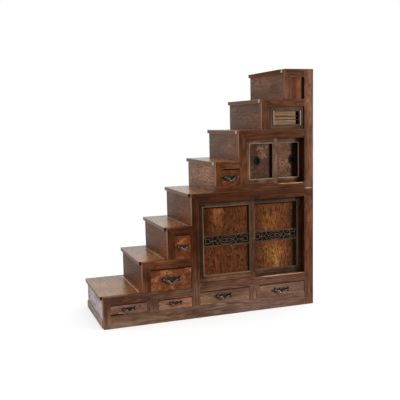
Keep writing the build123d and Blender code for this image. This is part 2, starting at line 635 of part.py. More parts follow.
def window_door():
    """The lift-out door of step 7: a barred window with a sliding shutter behind it."""
    x0, x1 = UPPER[2].face + UPPER[2].post + 1, POST_INSIDE - 1
    z0, z1 = UPPER[1].top + DOOR_FOOT_GAP, WINDOW_HEAD - DOOR_HEAD_GAP
    left, right, low, high = WINDOW
    sides = (left - x0, x1 - right, low - z0, z1 - high)
    pieces = door_frame(x0, x1, z0, z1, WINDOW_FACE, LIFT_DOOR, sides, WINDOW_BEVEL)
    pieces += tongues(x0, x1, z0, z1, WINDOW_FACE + LIFT_TONGUE_SIDE, LIFT_TONGUE, LIFT_TONGUE_UP)
    bar_face = WINDOW_FACE + BAR_SET
    half = WINDOW_BAR / 2
    for height in WINDOW_BARS:
        span = (height - half, height + half)
        pieces.append(board(left, right, bar_face, bar_face + LIFT_TONGUE, *span, THIN_ARRIS))
    back = WINDOW_FACE + LIFT_DOOR
    keep = back + SHUTTER_THICK + 2 * SHUTTER_PLAY
    x2, x3, z2, z3 = SHUTTER
    for inside, away in ((z2 - SHUTTER_PLAY, -1), (z3 + SHUTTER_PLAY, 1)):
        outside = inside + away * SHUTTER_BATTEN
        batten = sorted((inside, outside))
        keeper = sorted((inside - away * SHUTTER_LIP, outside))
        pieces.append(board(x0, x1, back, keep, *batten, 0))
        pieces.append(board(x0, x1, keep, keep + KEEPER, *keeper, 0))
    shutter = board(x2, x3, back + SHUTTER_PLAY, keep - SHUTTER_PLAY, z2, z3, THIN_ARRIS)
    return {"window_door_frame": pieces, "window_shutter": [shutter]}


def top_door():
    """The plain lift-out door of step 8."""
    x0, x1 = UPPER[3].face + UPPER[3].post + 1, POST_INSIDE - 1
    z0, z1 = UPPER[2].top + DOOR_FOOT_GAP, TOP_HEAD - DOOR_HEAD_GAP
    pieces = [board(x0, x1, TOP_FACE, TOP_FACE + LIFT_DOOR, z0, z1)]
    pieces += tongues(x0, x1, z0, z1, TOP_FACE + LIFT_TONGUE_SIDE, LIFT_TONGUE, LIFT_TONGUE_UP)
    return {"top_door": pieces}


def doors():
    nodes = {}
    left, right = pair(LARGE_LEFT, POST_INSIDE, LARGE_OVERLAP)
    nodes.update(large_door("left_door", *left, FRONT_TRACK))
    nodes.update(large_door("right_door", *right, REAR_TRACK))
    left, right = pair(SMALL_LEFT, POST_INSIDE, SMALL_OVERLAP)
    nodes.update(small_door("small_left_door", *left, DOOR_STILE, FRONT_TRACK, CUP_XS[0]))
    nodes.update(small_door("small_right_door", *right, SMALL_END_STILE, REAR_TRACK, CUP_XS[1]))
    nodes.update(window_door())
    nodes.update(top_door())
    return nodes


# ================================================================ the whole chest
def chest():
    nodes = {}
    for chest_part in (lower_treads, lower_frame, lower_carcass):
        nodes.update(chest_part())
    for chest_part in (upper_treads, upper_frame, upper_carcass, drawers, doors):
        nodes.update(chest_part())
    return nodes


def export(nodes):
    """Move the chest to its origin and write one STEP file for each node."""
    os.makedirs("parts", exist_ok=True)
    to_origin = Pos(-ORIGIN_X, -ORIGIN_Y, 0)
    for name, solids in nodes.items():
        placed = [piece for solid in solids for piece in (to_origin * solid).solids()]
        export_step(Compound(children=placed), f"parts/{name}.step")
    print(len(nodes), "nodes; origin at", ORIGIN_X, ORIGIN_Y)


export(chest())
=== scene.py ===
# %% [markdown]
# # A step chest (kaidan-dansu)
# A step chest is a chest of drawers and cupboards in the shape of a stair. This lesson takes its
# carcass, doors and drawers as they were drawn in CAD, gives each board the wood and finish that it
# has, forges the iron handles, and sets the chest on a sheet of pale paper in a quiet studio.

# %% Load the chest
from math import cos, pi, radians, sin

import bmesh
import bpy
from mathutils import Matrix, Vector


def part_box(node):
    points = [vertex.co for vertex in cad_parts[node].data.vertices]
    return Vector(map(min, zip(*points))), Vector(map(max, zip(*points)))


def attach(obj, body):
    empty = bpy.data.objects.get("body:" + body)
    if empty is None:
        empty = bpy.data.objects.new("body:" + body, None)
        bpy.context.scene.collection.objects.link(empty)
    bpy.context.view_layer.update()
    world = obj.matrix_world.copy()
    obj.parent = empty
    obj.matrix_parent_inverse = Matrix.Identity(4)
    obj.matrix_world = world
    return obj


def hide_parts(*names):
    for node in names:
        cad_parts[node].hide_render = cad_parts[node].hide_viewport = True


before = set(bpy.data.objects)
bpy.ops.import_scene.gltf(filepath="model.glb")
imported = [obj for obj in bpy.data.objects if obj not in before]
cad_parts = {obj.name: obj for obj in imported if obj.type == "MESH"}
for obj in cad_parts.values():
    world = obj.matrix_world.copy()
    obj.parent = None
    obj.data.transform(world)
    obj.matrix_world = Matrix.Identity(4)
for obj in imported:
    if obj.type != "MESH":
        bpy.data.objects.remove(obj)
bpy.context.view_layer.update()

# %% [markdown]
# ## Places and colours
# The chest was drawn in millimetres from the foot of its lowest step. Two small functions turn
# those millimetres to metres of the scene, and colours as they are picked on a screen (sRGB hex) to
# the linear values that the shaders add and multiply.

# %% Places and colours
DRAWING_X, DRAWING_Y = 817.5, 304.14   # the chest's middle on the drawing, in millimetres


def at(x, y, z):
    """A point of the drawing, in millimetres, as a place in the scene, in metres."""
    return Vector(((x - DRAWING_X) / 1000, (y - DRAWING_Y) / 1000, z / 1000))


def linear(hex_colour):
    """An sRGB hex colour as linear red, green, blue and a full alpha."""
    parts = [int(hex_colour[i:i + 2], 16) / 255 for i in (1, 3, 5)]
    return tuple(p / 12.92 if p <= 0.04045 else ((p + 0.055) / 1.055) ** 2.4 for p in parts) + (1.0,)


print("the foot of step 1 is at", at(0, 0, 0), "and mid grey is", linear("#808080"))

# %% [markdown]
# ## One function for nodes
# A material is a graph of nodes. Adding a node always takes the same steps, so one small function
# does it: it makes the node, sets its options, and for each input takes a plain value or links the
# node that feeds it.

# %% One function for nodes
def add(tree, kind, settings=None, links=None):
    """A new node, with its settings, and for each input a value or the node or output that feeds it."""
    made = tree.nodes.new("ShaderNode" + kind)
    for name, value in (settings or {}).items():
        if name == "stops":
            elements = made.color_ramp.elements
            for extra in value[2:]:
                elements.new(extra[0])
            for element, (place, colour) in zip(elements, value):
                element.position, element.color = place, colour
        else:
            setattr(made, name, value)
    sockets = [socket for socket in made.inputs if socket.enabled]
    for name, value in (links or {}).items():
        socket = sockets[name] if isinstance(name, int) else next(s for s in sockets if s.name == name)
        if isinstance(value, bpy.types.Node):
            value = next(output for output in value.outputs if output.enabled)
        if isinstance(value, bpy.types.NodeSocket):
            tree.links.new(value, socket)
        else:
            socket.default_value = value
    return made


def grey(level):
    """An even grey, from 0 for black to 1 for white."""
    return (level, level, level, 1.0)


def blank_material(name):
    """A new material and its graph of nodes, which is still empty."""
    material = bpy.data.materials.new(name)
    material.use_nodes = True
    material.node_tree.nodes.clear()
    return material, material.node_tree


COLOUR = {"data_type": "RGBA"}                      # for a Mix node that mixes colours
SMOOTH = {"interpolation_type": "SMOOTHSTEP"}       # for a Map Range node that eases in and out
TIMES = {"operation": "MULTIPLY"}                   # for a Math node that multiplies
print("nodes are added by", add.__name__)

# %% [markdown]
# ## The camera
# The chest is seen from the left of its low end and a little above, from about four and a half
# metres. The camera's three axes are worked out from how far it turns, tips and leans.

# %% The camera
TURN, TIP, LEAN = radians(19.52), radians(7.04), radians(-1.22)
ahead = Vector((sin(TURN) * cos(TIP), cos(TURN) * cos(TIP), -sin(TIP)))
level = Vector((cos(TURN), -sin(TURN), 0))
upward = level.cross(ahead)
right = level * cos(LEAN) + upward * sin(LEAN)
up = upward * cos(LEAN) - level * sin(LEAN)
camera_data = bpy.data.cameras.new("Camera")
camera_data.lens = 57.88
camera = bpy.data.objects.new("Camera", camera_data)
turned = Matrix((right, up, -ahead)).transposed().to_4x4()
camera.matrix_world = Matrix.Translation(at(-801, -4317, 1435)) @ turned
scene = bpy.context.scene
scene.collection.objects.link(camera)
scene.camera = camera
print("camera at", camera.location, "looking along", ahead)

# %% [markdown]
# ## The studio
# The chest stands on pale paper. The room behind it, to its left and above it is bright, so treads and
# left sides have a pale sheen, and the room in front is dim, so the front keeps the depth of its colour.
# A lamp far to the right throws the narrow shadows beside the sunk panels, and shade painted on the
# panels and door frames deepens them.

# %% The world around the chest
scene.view_settings.view_transform = "Standard"
world = bpy.data.worlds.new("Studio")
scene.world = world
world.use_nodes = True
air = world.node_tree
air.nodes.clear()
FRONT_LEVEL, BACK_LEVEL, LEFT_LEVEL, TOP_LEVEL = 0.07, 1.0, 0.85, 1.15
direction = add(air, "SeparateXYZ", {}, {"Vector": add(air, "TexCoord").outputs["Generated"]})
behind = add(air, "MapRange", SMOOTH,
             {"Value": direction.outputs["Y"], "From Min": -0.10, "From Max": 0.80,
              "To Min": FRONT_LEVEL, "To Max": BACK_LEVEL})
at_left = add(air, "MapRange", SMOOTH,
              {"Value": direction.outputs["X"], "From Min": -0.35, "From Max": -0.90,
               "To Max": LEFT_LEVEL})
overhead = add(air, "MapRange", SMOOTH,
               {"Value": direction.outputs["Z"], "From Min": 0.25, "From Max": 0.85,
                "To Max": TOP_LEVEL})
room = add(air, "Math", {"operation": "MAXIMUM"}, {0: behind, 1: at_left})
room = add(air, "Math", {"operation": "MAXIMUM"}, {0: room, 1: overhead})
ray = add(air, "LightPath")
seen = add(air, "Math", {"operation": "MAXIMUM"},
           {0: ray.outputs["Is Camera Ray"], 1: ray.outputs["Is Transmission Ray"]})
gloss_seen = add(air, "Math", TIMES, {0: ray.outputs["Is Glossy Ray"], 1: behind})
seen = add(air, "Math", {"operation": "MAXIMUM"}, {0: seen, 1: gloss_seen})
brightness = add(air, "Mix", {}, {"Factor": seen, "A": room, "B": 1.0})
backdrop = add(air, "Background", {}, {"Color": brightness})
add(air, "OutputWorld", {}, {"Surface": backdrop})
print("room: front", FRONT_LEVEL, "back", BACK_LEVEL, "left", LEFT_LEVEL, "top", TOP_LEVEL)

# %% The lamp
LAMP_FROM = Vector((0.84, -0.50, 0.12)).normalized()
LAMP_AWAY = 12.0
LAMP_LEVEL = 1.25                # how bright a white card that faces the lamp would be
lamp_data = bpy.data.lights.new("Key", "AREA")
lamp_data.shape = "DISK"
lamp_data.size = 1.5
lamp_data.energy = LAMP_LEVEL * pi * pi * LAMP_AWAY ** 2
lamp = bpy.data.objects.new("Key", lamp_data)
lamp.location = at(1000, 0, 800) + LAMP_FROM * LAMP_AWAY
lamp.rotation_euler = LAMP_FROM.to_track_quat("Z", "Y").to_euler()
scene.collection.objects.link(lamp)
print("lamp of", round(lamp_data.energy), "W at", lamp.location)

# %% The paper on the floor
PAPER_REACH = 3.2                # metres, from the middle to each side
PAPER_TONE = 0.80                # what the paper throws back on the chest
SHOWN_TONE, SHOWN_GLOW = 0.50, 0.57   # what the camera sees: white, with a faint shadow
paper_mesh = bpy.data.meshes.new("Paper")
bm = bmesh.new()
bmesh.ops.create_grid(bm, x_segments=1, y_segments=1, size=PAPER_REACH)
bm.to_mesh(paper_mesh)
bm.free()
paper = bpy.data.objects.new("Paper", paper_mesh)
scene.collection.objects.link(paper)
paper_white, sheet = blank_material("Matte_white_paper")
matte = add(sheet, "BsdfDiffuse", {}, {"Color": grey(PAPER_TONE)})
shaded = add(sheet, "BsdfDiffuse", {}, {"Color": grey(SHOWN_TONE)})
glow = add(sheet, "Emission", {}, {"Color": grey(SHOWN_GLOW)})
lit = add(sheet, "AddShader", {}, {0: shaded, 1: glow})
seen = add(sheet, "LightPath").outputs["Is Camera Ray"]
surface = add(sheet, "MixShader", {}, {0: seen, 1: matte, 2: lit})
add(sheet, "OutputMaterial", {}, {"Surface": surface})
paper_mesh.materials.append(paper_white)
print("paper", 2 * PAPER_REACH, "m square")

# %% [markdown]
# ## Zelkova under rubbed lacquer
# The frame, treads and risers are zelkova (keyaki), wiped many times with brown lacquer. Zelkova has
# coarse growth rings: on a flat-sawn board they show as long arches, like the height lines of a map.
# So the rings are drawn as a map is: a smooth noise, drawn out along the grain, is cut into steps.
# Finer noises, drawn out the same way, make the pores, the darker streaks and the warm patches where the
# lacquer has gone thin. Edges are paler, partly from wear and partly as a painted highlight where they
# catch the light; the eased edge of a board is the only face that points between two axes, so its normal
# finds it. The lacquer is brown itself, so its gloss is tinted, and white only where it is seen edge on.

# %% A patch on a board
LACQUER_TINT = "#b38160"


def patch(tree, place, centre, radii, box):
    """1 at a point of the drawing and 0 at the radii round it: an oval, or a soft box."""
    scale = [1000 / radius for radius in radii]
    shift = [-value * size for value, size in zip(at(*centre), scale)]
    nearby = add(tree, "Mapping", {}, {"Vector": place, "Scale": scale, "Location": shift})
    if box:
        nearby = add(tree, "VectorMath", TIMES, {0: nearby, 1: nearby})
    distance = add(tree, "VectorMath", {"operation": "LENGTH"}, {0: nearby})
    return add(tree, "MapRange", SMOOTH,
               {"Value": distance, "From Min": 0.1, "From Max": 1.0, "To Min": 1.0, "To Max": 0.0})


def patched(tree, place, wood, figure, uneven, patches):
    """The wood with patches of other tones: each has a middle, radii, two colours and a strength.

    A strength over 2 gives a patch a firm edge, and its shape is then a box."""
    for centre, radii, dark, light, strength in patches:
        here = add(tree, "Math", TIMES,
                   {0: patch(tree, place, centre, radii, strength > 2), 1: uneven})
        here = add(tree, "Math", {"operation": "MULTIPLY", "use_clamp": True}, {0: here, 1: strength})
        other = add(tree, "Mix", COLOUR,
                    {"Factor": figure, "A": linear(dark), "B": linear(light)})
        wood = add(tree, "Mix", COLOUR, {"Factor": here, "A": wood, "B": other})
    return wood


print("patches ready")

# %% [markdown]
# A wide face is a row of boards with rings of their own, so each board reads the noise at another place.
# A door's frame is mitred, and its grain turns where a point is nearer to the door's side than to its
# end. The left faces of posts and treads get a tone of their own as far as the stair goes; on the posts
# it is paler, a painted light from the left.

# %% Boards in a row and mitred frames
def board_in_row(tree, place, axis, seams):
    """The place that a board of a row reads its grain at, and the board's tone, dark at its joints."""
    across = add(tree, "SeparateXYZ", {}, {"Vector": place}).outputs[axis]
    count, nearest = 0.0, 1.0
    for seam in seams:
        seam_at = at(seam, seam, seam)["XYZ".index(axis)]
        past = add(tree, "Math", {"operation": "SUBTRACT"}, {0: across, 1: seam_at})
        beyond = add(tree, "Math", {"operation": "GREATER_THAN"}, {0: past, 1: 0.0})
        count = add(tree, "Math", {"operation": "ADD"}, {0: count, 1: beyond})
        away = add(tree, "Math", {"operation": "ABSOLUTE"}, {0: past})
        nearest = add(tree, "Math", {"operation": "MINIMUM"}, {0: nearest, 1: away})
    own = add(tree, "TexWhiteNoise", {"noise_dimensions": "1D"}, {"W": count})
    tone = add(tree, "MapRange", {}, {"Value": own.outputs["Value"], "To Min": 0.82, "To Max": 1.18})
    joint = add(tree, "MapRange", {}, {"Value": nearest, "From Min": 0.0006, "From Max": 0.0026,
                                       "To Min": 0.25, "To Max": 1.0})
    tone = add(tree, "Math", TIMES, {0: tone, 1: joint})
    moved = add(tree, "VectorMath", {"operation": "SCALE"}, {0: own.outputs["Color"], "Scale": 9.0})
    return add(tree, "VectorMath", {"operation": "ADD"}, {0: place, 1: moved}), tone


def upright_part(tree, place, centre, half_width, half_height):
    """1 on the uprights of a mitred door frame, which has that middle and half size, 0 on its rails."""
    centred = add(tree, "Mapping", {}, {"Vector": place, "Location": [-value for value in centre]})
    parts = add(tree, "SeparateXYZ", {}, {"Vector": centred})
    across = add(tree, "Math", {"operation": "ABSOLUTE"}, {0: parts.outputs["X"]})
    along = add(tree, "Math", {"operation": "ABSOLUTE"}, {0: parts.outputs["Z"]})
    from_side = add(tree, "Math", {"operation": "SUBTRACT"}, {0: across, 1: half_width})
    from_end = add(tree, "Math", {"operation": "SUBTRACT"}, {0: along, 1: half_height})
    return add(tree, "Math", {"operation": "GREATER_THAN"}, {0: from_side, 1: from_end})


print("rows of boards and mitred frames ready")

# %% Worn and lit edges, and left faces in painted light
STAIRS_END = at(1540, 0, 0)[0]   # right of here the posts' left faces get no painted light


def worn_and_lit_edges(tree, wood, normal, uneven, colour, strength):
    """The wood with its eased edges in another tone, which on lacquered wood is paler: partly wear,
    partly a painted highlight.
    """
    facing = add(tree, "VectorMath", {"operation": "ABSOLUTE"}, {0: normal})
    sides = add(tree, "SeparateXYZ", {}, {"Vector": facing})
    steepest = add(tree, "Math", {"operation": "MAXIMUM"},
                   {0: sides.outputs["X"], 1: sides.outputs["Z"]})
    steepest = add(tree, "Math", {"operation": "MAXIMUM"}, {0: steepest, 1: sides.outputs["Y"]})
    rubbed = add(tree, "MapRange", {}, {"Value": steepest, "From Min": 0.90, "From Max": 0.98,
                                        "To Min": strength, "To Max": 0.0})
    rubbed = add(tree, "Math", {"operation": "MULTIPLY", "use_clamp": True}, {0: rubbed, 1: uneven})
    return add(tree, "Mix", COLOUR, {"Factor": rubbed, "A": wood, "B": linear(colour)})


def left_faces(tree, here, signed):
    """1 on faces that look left, as far as the stair goes."""
    left = add(tree, "Math", {"operation": "LESS_THAN"}, {0: signed.outputs["X"], 1: -0.9})
    stairs = add(tree, "Math", {"operation": "LESS_THAN"}, {0: here.outputs["X"], 1: STAIRS_END})
    return add(tree, "Math", TIMES, {0: left, 1: stairs})


def paint_left_light(tree, wood, here, faces, colour, strength, height, depth):
    """The wood with its left faces in another tone, fainter above a height in metres. It is fainter too
    further from the front than the depth, in millimetres. On the posts the tone is paler: it is painted
    light from the left."""
    below = add(tree, "MapRange", {}, {"Value": here.outputs["Z"], "From Min": height - 0.02,
                                       "From Max": height + 0.02, "To Min": strength,
                                       "To Max": 0.45 * strength})
    faces = add(tree, "Math", TIMES, {0: faces, 1: below})
    near_front = add(tree, "MapRange", {},
                     {"Value": here.outputs["Y"], "From Min": at(0, 0.5 * depth, 0)[1],
                      "From Max": at(0, depth, 0)[1], "To Min": 1.0, "To Max": 0.35})
    faces = add(tree, "Math", TIMES, {0: faces, 1: near_front})
    return add(tree, "Mix", COLOUR, {"Factor": faces, "A": wood, "B": linear(colour)})


print("left faces are worn up to", STAIRS_END)

# %% Zelkova under rubbed lacquer
def lacquered_board(name, grain, late, early, warm, ring_cell=(55, 620), ring_steps=9.0, streak=0.40,
                    cloud=0.35, rough=0.42, specular=0.30, worn=("#8a6048", 0.45), end=None, side=None,
                    side_gloss=1, dull_from=None, patches=(), mitred=None, plank=None, bump=0.25):
    """Flat-sawn wood along one axis, or along two where mitred gives a door's middle and half size.

    plank gives an axis across the boards and where they meet on it, and end the tone of the front ends,
    which the treads use for painted shade and painted highlights. side gives the left faces' tone,
    strength, height in metres and depth in millimetres, and side_gloss their share of the gloss; on the
    posts that tone is painted light. Right of dull_from, in millimetres, there is no polish."""
    material, tree = blank_material(name)
    coordinates = add(tree, "TexCoord")
    place, normal = coordinates.outputs["Object"], coordinates.outputs["Normal"]
    here = add(tree, "SeparateXYZ", {}, {"Vector": place})
    signed = add(tree, "SeparateXYZ", {}, {"Vector": normal})
    upright = upright_part(tree, place, *mitred) if mitred else None
    grain_place, level_tone = board_in_row(tree, place, *plank) if plank else (place, 1.0)

    def drawn_out(cell_across, cell_along):
        """Coordinates in which a noise cell has that width and length, in millimetres."""
        maps = []
        for axis in grain:
            scale = [1000 / cell_across] * 3
            scale["XYZ".index(axis)] = 1000 / cell_along
            maps.append(add(tree, "Mapping", {}, {"Vector": grain_place, "Scale": scale}))
        if not mitred:
            return maps[0]
        return add(tree, "Mix", {"data_type": "VECTOR"},
                   {"Factor": upright, "A": maps[0], "B": maps[1]})

    height = add(tree, "TexNoise", {}, {"Vector": drawn_out(*ring_cell), "Scale": 1.0, "Detail": 2.0,
                                        "Roughness": 0.45, "Distortion": 0.25})
    steps = add(tree, "Math", TIMES, {0: height, 1: ring_steps})
    ring = add(tree, "Math", {"operation": "FRACT"}, {0: steps})
    ring_tone = add(tree, "ValToRGB", {"stops": [(0.0, grey(0)), (0.35, grey(0.65)), (0.85, grey(1)),
                                                 (1.0, grey(0.05))]}, {"Fac": ring})
    # Pores are under half a millimetre wide; they are drawn as 3 mm streaks so that they show.
    pores = add(tree, "TexNoise", {}, {"Vector": drawn_out(4.0, 90.0), "Scale": 1.0, "Detail": 3.0,
                                       "Roughness": 0.6})
    pore_tone = add(tree, "MapRange", {}, {"Value": pores, "From Min": 0.30, "From Max": 0.70})
    figure = add(tree, "Mix", {}, {"Factor": 0.35, "A": ring_tone, "B": pore_tone})
    wood = add(tree, "Mix", COLOUR, {"Factor": figure, "A": linear(late), "B": linear(early)})
    clouds = add(tree, "TexNoise", {}, {"Vector": drawn_out(120.0, 330.0), "Scale": 1.0, "Detail": 3.0})
    thin = add(tree, "MapRange", SMOOTH,
               {"Value": clouds, "From Min": 0.46, "From Max": 0.66, "To Max": 0.85})
    thin = add(tree, "Math", TIMES, {0: thin, 1: figure})
    wood = add(tree, "Mix", COLOUR, {"Factor": thin, "A": wood, "B": linear(warm)})
    uneven = add(tree, "MapRange", {}, {"Value": clouds, "From Min": 0.30, "From Max": 0.62,
                                        "To Min": 0.55, "To Max": 1.15})
    wood = patched(tree, place, wood, figure, uneven, patches)
    for where, scale, detail, roughness, spread, strength in (
            (drawn_out(26.0, 70.0), 1.0, 3.0, 0.5, 0.18, 0.7 * streak),
            (drawn_out(14.0, 300.0), 1.0, 4.0, 0.6, 0.20, streak),
            (place, 1000 / 210.0, 3.0, 0.5, 0.20, cloud)):
        noise = add(tree, "TexNoise", {}, {"Vector": where, "Scale": scale, "Detail": detail,
                                           "Roughness": roughness})
        tone = add(tree, "MapRange", {},
                   {"Value": noise, "From Min": 0.5 - spread, "From Max": 0.5 + spread,
                    "To Min": 1.0 - strength, "To Max": 1.0 + strength})
        level_tone = add(tree, "Math", TIMES, {0: level_tone, 1: tone})
    level_colour = add(tree, "CombineColor", {}, {0: level_tone, 1: level_tone, 2: level_tone})
    wood = add(tree, "Mix", {**COLOUR, "blend_type": "MULTIPLY"},
               {"Factor": 1.0, "A": wood, "B": level_colour})
    wood = worn_and_lit_edges(tree, wood, normal, uneven, *worn)
    gloss = add(tree, "MapRange", {}, {"Value": pores, "From Min": 0.3, "From Max": 0.7,
                                       "To Min": rough + 0.10, "To Max": rough - 0.06})
    shine = specular
    if side:
        faces = left_faces(tree, here, signed)
        wood = paint_left_light(tree, wood, here, faces, *side)
        if side_gloss < 1:
            shine = add(tree, "Mix", {}, {"Factor": faces, "A": specular, "B": side_gloss * specular})
    # On the treads the front ends are painted: dark as shade on the lower four steps, pale as a
    # highlight on the upper four.
    if end:
        end_grain = add(tree, "Math", {"operation": "LESS_THAN"}, {0: signed.outputs["Y"], 1: -0.9})
        wood = add(tree, "Mix", COLOUR, {"Factor": end_grain, "A": wood, "B": linear(end)})
    if dull_from:
        unpolished = add(tree, "Math", {"operation": "GREATER_THAN"},
                         {0: here.outputs["X"], 1: at(dull_from, 0, 0)[0]})
        gloss = add(tree, "Mix", {}, {"Factor": unpolished, "A": gloss, "B": 0.9})
        shine = add(tree, "Mix", {}, {"Factor": unpolished, "A": shine, "B": 0.02})
    relief = add(tree, "Bump", {}, {"Strength": bump, "Distance": 0.0006, "Height": figure})
    board = add(tree, "BsdfPrincipled", {}, {"Base Color": wood, "Roughness": gloss, "Normal": relief,
                                             "Specular IOR Level": shine, "IOR": 1.5,
                                             "Specular Tint": linear(LACQUER_TINT)})
    add(tree, "OutputMaterial", {}, {"Surface": board})
    return material


def finish_node(node, material):
    """Give a part of the chest its material."""
    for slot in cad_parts[node].material_slots:
        slot.material = material


print("lacquered boards ready")

# %% [markdown]
# The front frame is the darkest wood. It is paler near the floor and up the right corner post. Posts
# have upright grain and rails level grain, so each has its own material, and the change of grain shows
# the mitred corners. The posts' left faces are painted paler, as light from the left.

# %% The front frame
NEAR_FLOOR = ((900, 0, -60), (1700, 900, 480), "#40302a", "#72584c", 0.95)
RIGHT_POST = ((1650, 0, 1500), (100, 900, 1100), "#44281f", "#825c4a", 0.85)
DARK_FOOT = ((1640, 0, 250), (170, 900, 420), "#2c170f", "#5a3524", 0.75)
DARK_SILL = ((1150, 0, 225), (1000, 900, 60), "#2a1a13", "#584036", 0.55)
HIGH_POSTS = ((1350, 0, 1600), (200, 900, 320), "#3c2118", "#784e3a", 0.7)
# Painted shade: the reveal of the right post is painted near black, where it lies in shade.
REVEAL_SHADE = ((1574, 24, 1000), (7, 25, 950), "#260d05", "#4a2412", 2.5)
SEAM_FOOT = ((1611, 0, 944), (40, 60, 30), "#38241c", "#60453a", 2.1)
# Painted highlight: a pale line along the seam where the upper chest stands on the lower one.
SEAM_HIGHLIGHT = ((1611, 0, 911), (40, 60, 5), "#80604c", "#b08c74", 2.5)
# Painted highlights: pale lines along the sills in front of the doors, where their edges catch the
# light.
LARGE_SILL_HIGHLIGHT = ((1385, 8, 257), (200, 16, 6), "#7a5c48", "#c49c80", 2.6)
SMALL_SILL_HIGHLIGHT = ((1460, 12, 956), (115, 26, 8), "#7a5234", "#c08c60", 2.6)
LEFT_FOOT = ((250, 0, 0), (500, 300, 150), "#5c4434", "#92745c", 0.85)
DARK_MIDDLE = ((640, 0, 660), (260, 900, 430), "#190502", "#3c1506", 0.85)
DARK_HEAD = ((1150, 0, 885), (1300, 900, 100), "#1a0903", "#421e0b", 1.0)
DARK_SIXTH = ((1250, 0, 1325), (700, 900, 100), "#200c05", "#4c2813", 0.8)
# The posts' left faces are painted paler, as light falling from the left.
post_wood = lacquered_board("Keyaki_posts_rubbed_lacquer", "Z", "#210e05", "#4e2d18", "#743f20",
                            side=("#a06840", 0.75, 1.57, 24),
                            patches=[DARK_MIDDLE, NEAR_FLOOR, DARK_FOOT, HIGH_POSTS, RIGHT_POST,
                                     LEFT_FOOT, REVEAL_SHADE, SEAM_FOOT, SEAM_HIGHLIGHT])
rail_wood = lacquered_board("Keyaki_rails_rubbed_lacquer", "X", "#261008", "#58341f", "#794323",
                            streak=0.30, cloud=0.25,
                            patches=[DARK_MIDDLE, DARK_HEAD, DARK_SIXTH, NEAR_FLOOR, DARK_SILL,
                                     LEFT_FOOT, LARGE_SILL_HIGHLIGHT, SMALL_SILL_HIGHLIGHT])
for chest in ("lower", "upper"):
    finish_node(f"{chest}_posts", post_wood)
    finish_node(f"{chest}_rails", rail_wood)
print("posts and rails finished")

# %% [markdown]
# The risers are thinner boards with level grain, greyer and duller than the frame. The lowest riser is
# painted a pale lavender grey, a painted reflection of the white floor, and the sill at its foot is the
# same pale lavender grey. The fifth riser was cut from a more figured plank.

# %% The risers and the side sill
# Painted reflection: the lowest riser is painted pale lavender grey, as the white floor reflected in it.
RISER_FLOOR_REFLECTION = ((0, 300, 110), (60, 900, 400), "#877877", "#d3cccf", 1.0)
FIGURED_RISER = ((857, 300, 1010), (60, 500, 300), "#4c2c1c", "#b4805c", 0.8)
GREY_BACK = ((900, 640, 900), (3000, 420, 3000), "#3c2d22", "#6c594a", 0.5)
AMBER_FOOT = [((290, 30, 250), (60, 240, 150), "#5c2c12", "#96562c", 0.8),
              ((481, 30, 470), (60, 240, 130), "#5c2c12", "#96562c", 0.8),
              ((667, 30, 700), (60, 220, 130), "#5c2c12", "#96562c", 0.7)]
lower_riser_wood = lacquered_board(
    "Keyaki_risers_rubbed_lacquer", "Y", "#43210f", "#704220", "#7d461e", ring_cell=(48, 420),
    ring_steps=10.0, streak=0.16, cloud=0.25, specular=0.07, worn=("#a58468", 0.6),
    patches=[GREY_BACK, RISER_FLOOR_REFLECTION] + AMBER_FOOT,
)
upper_riser_wood = lacquered_board(
    "Keyaki_figured_risers", "Y", "#47291b", "#765138", "#865638", ring_cell=(56, 420),
    ring_steps=10.0, streak=0.14, cloud=0.28, specular=0.12, worn=("#a58468", 0.6),
    patches=[GREY_BACK, FIGURED_RISER],
)
sill_wood = lacquered_board("Keyaki_side_sill", "Y", "#6a5450", "#a08a84", "#8c6c58",
                            worn=("#c8b4a8", 0.8))
end_wood = lacquered_board("Keyaki_end_panels", "Z", "#39200f", "#68432e", "#7c4c2b",
                           ring_cell=(85, 1300), ring_steps=8.0, streak=0.22, cloud=0.22,
                           plank=("Y", (236, 430)))
finish_node("lower_risers", lower_riser_wood)
finish_node("upper_risers", upper_riser_wood)
finish_node("lower_side_sill", sill_wood)
for chest in ("lower", "upper"):
    finish_node(f"{chest}_end_panel", end_wood)
print("risers finished")

# %% [markdown]
# The treads are the same wood with most of its lacquer walked off, so they are tan. Each tread has the
# next riser's reflection painted on it: amber beside the riser at the front, darker further back, and a
# painted grey sheen at the back. The front ends of the four lower nosings are painted dark, as shade;
# those of the four upper ones are painted pale, as a highlight. Feet keep the treads smooth; nobody
# treads on the top one, nor on the board that the upper chest stands on, which are dull.

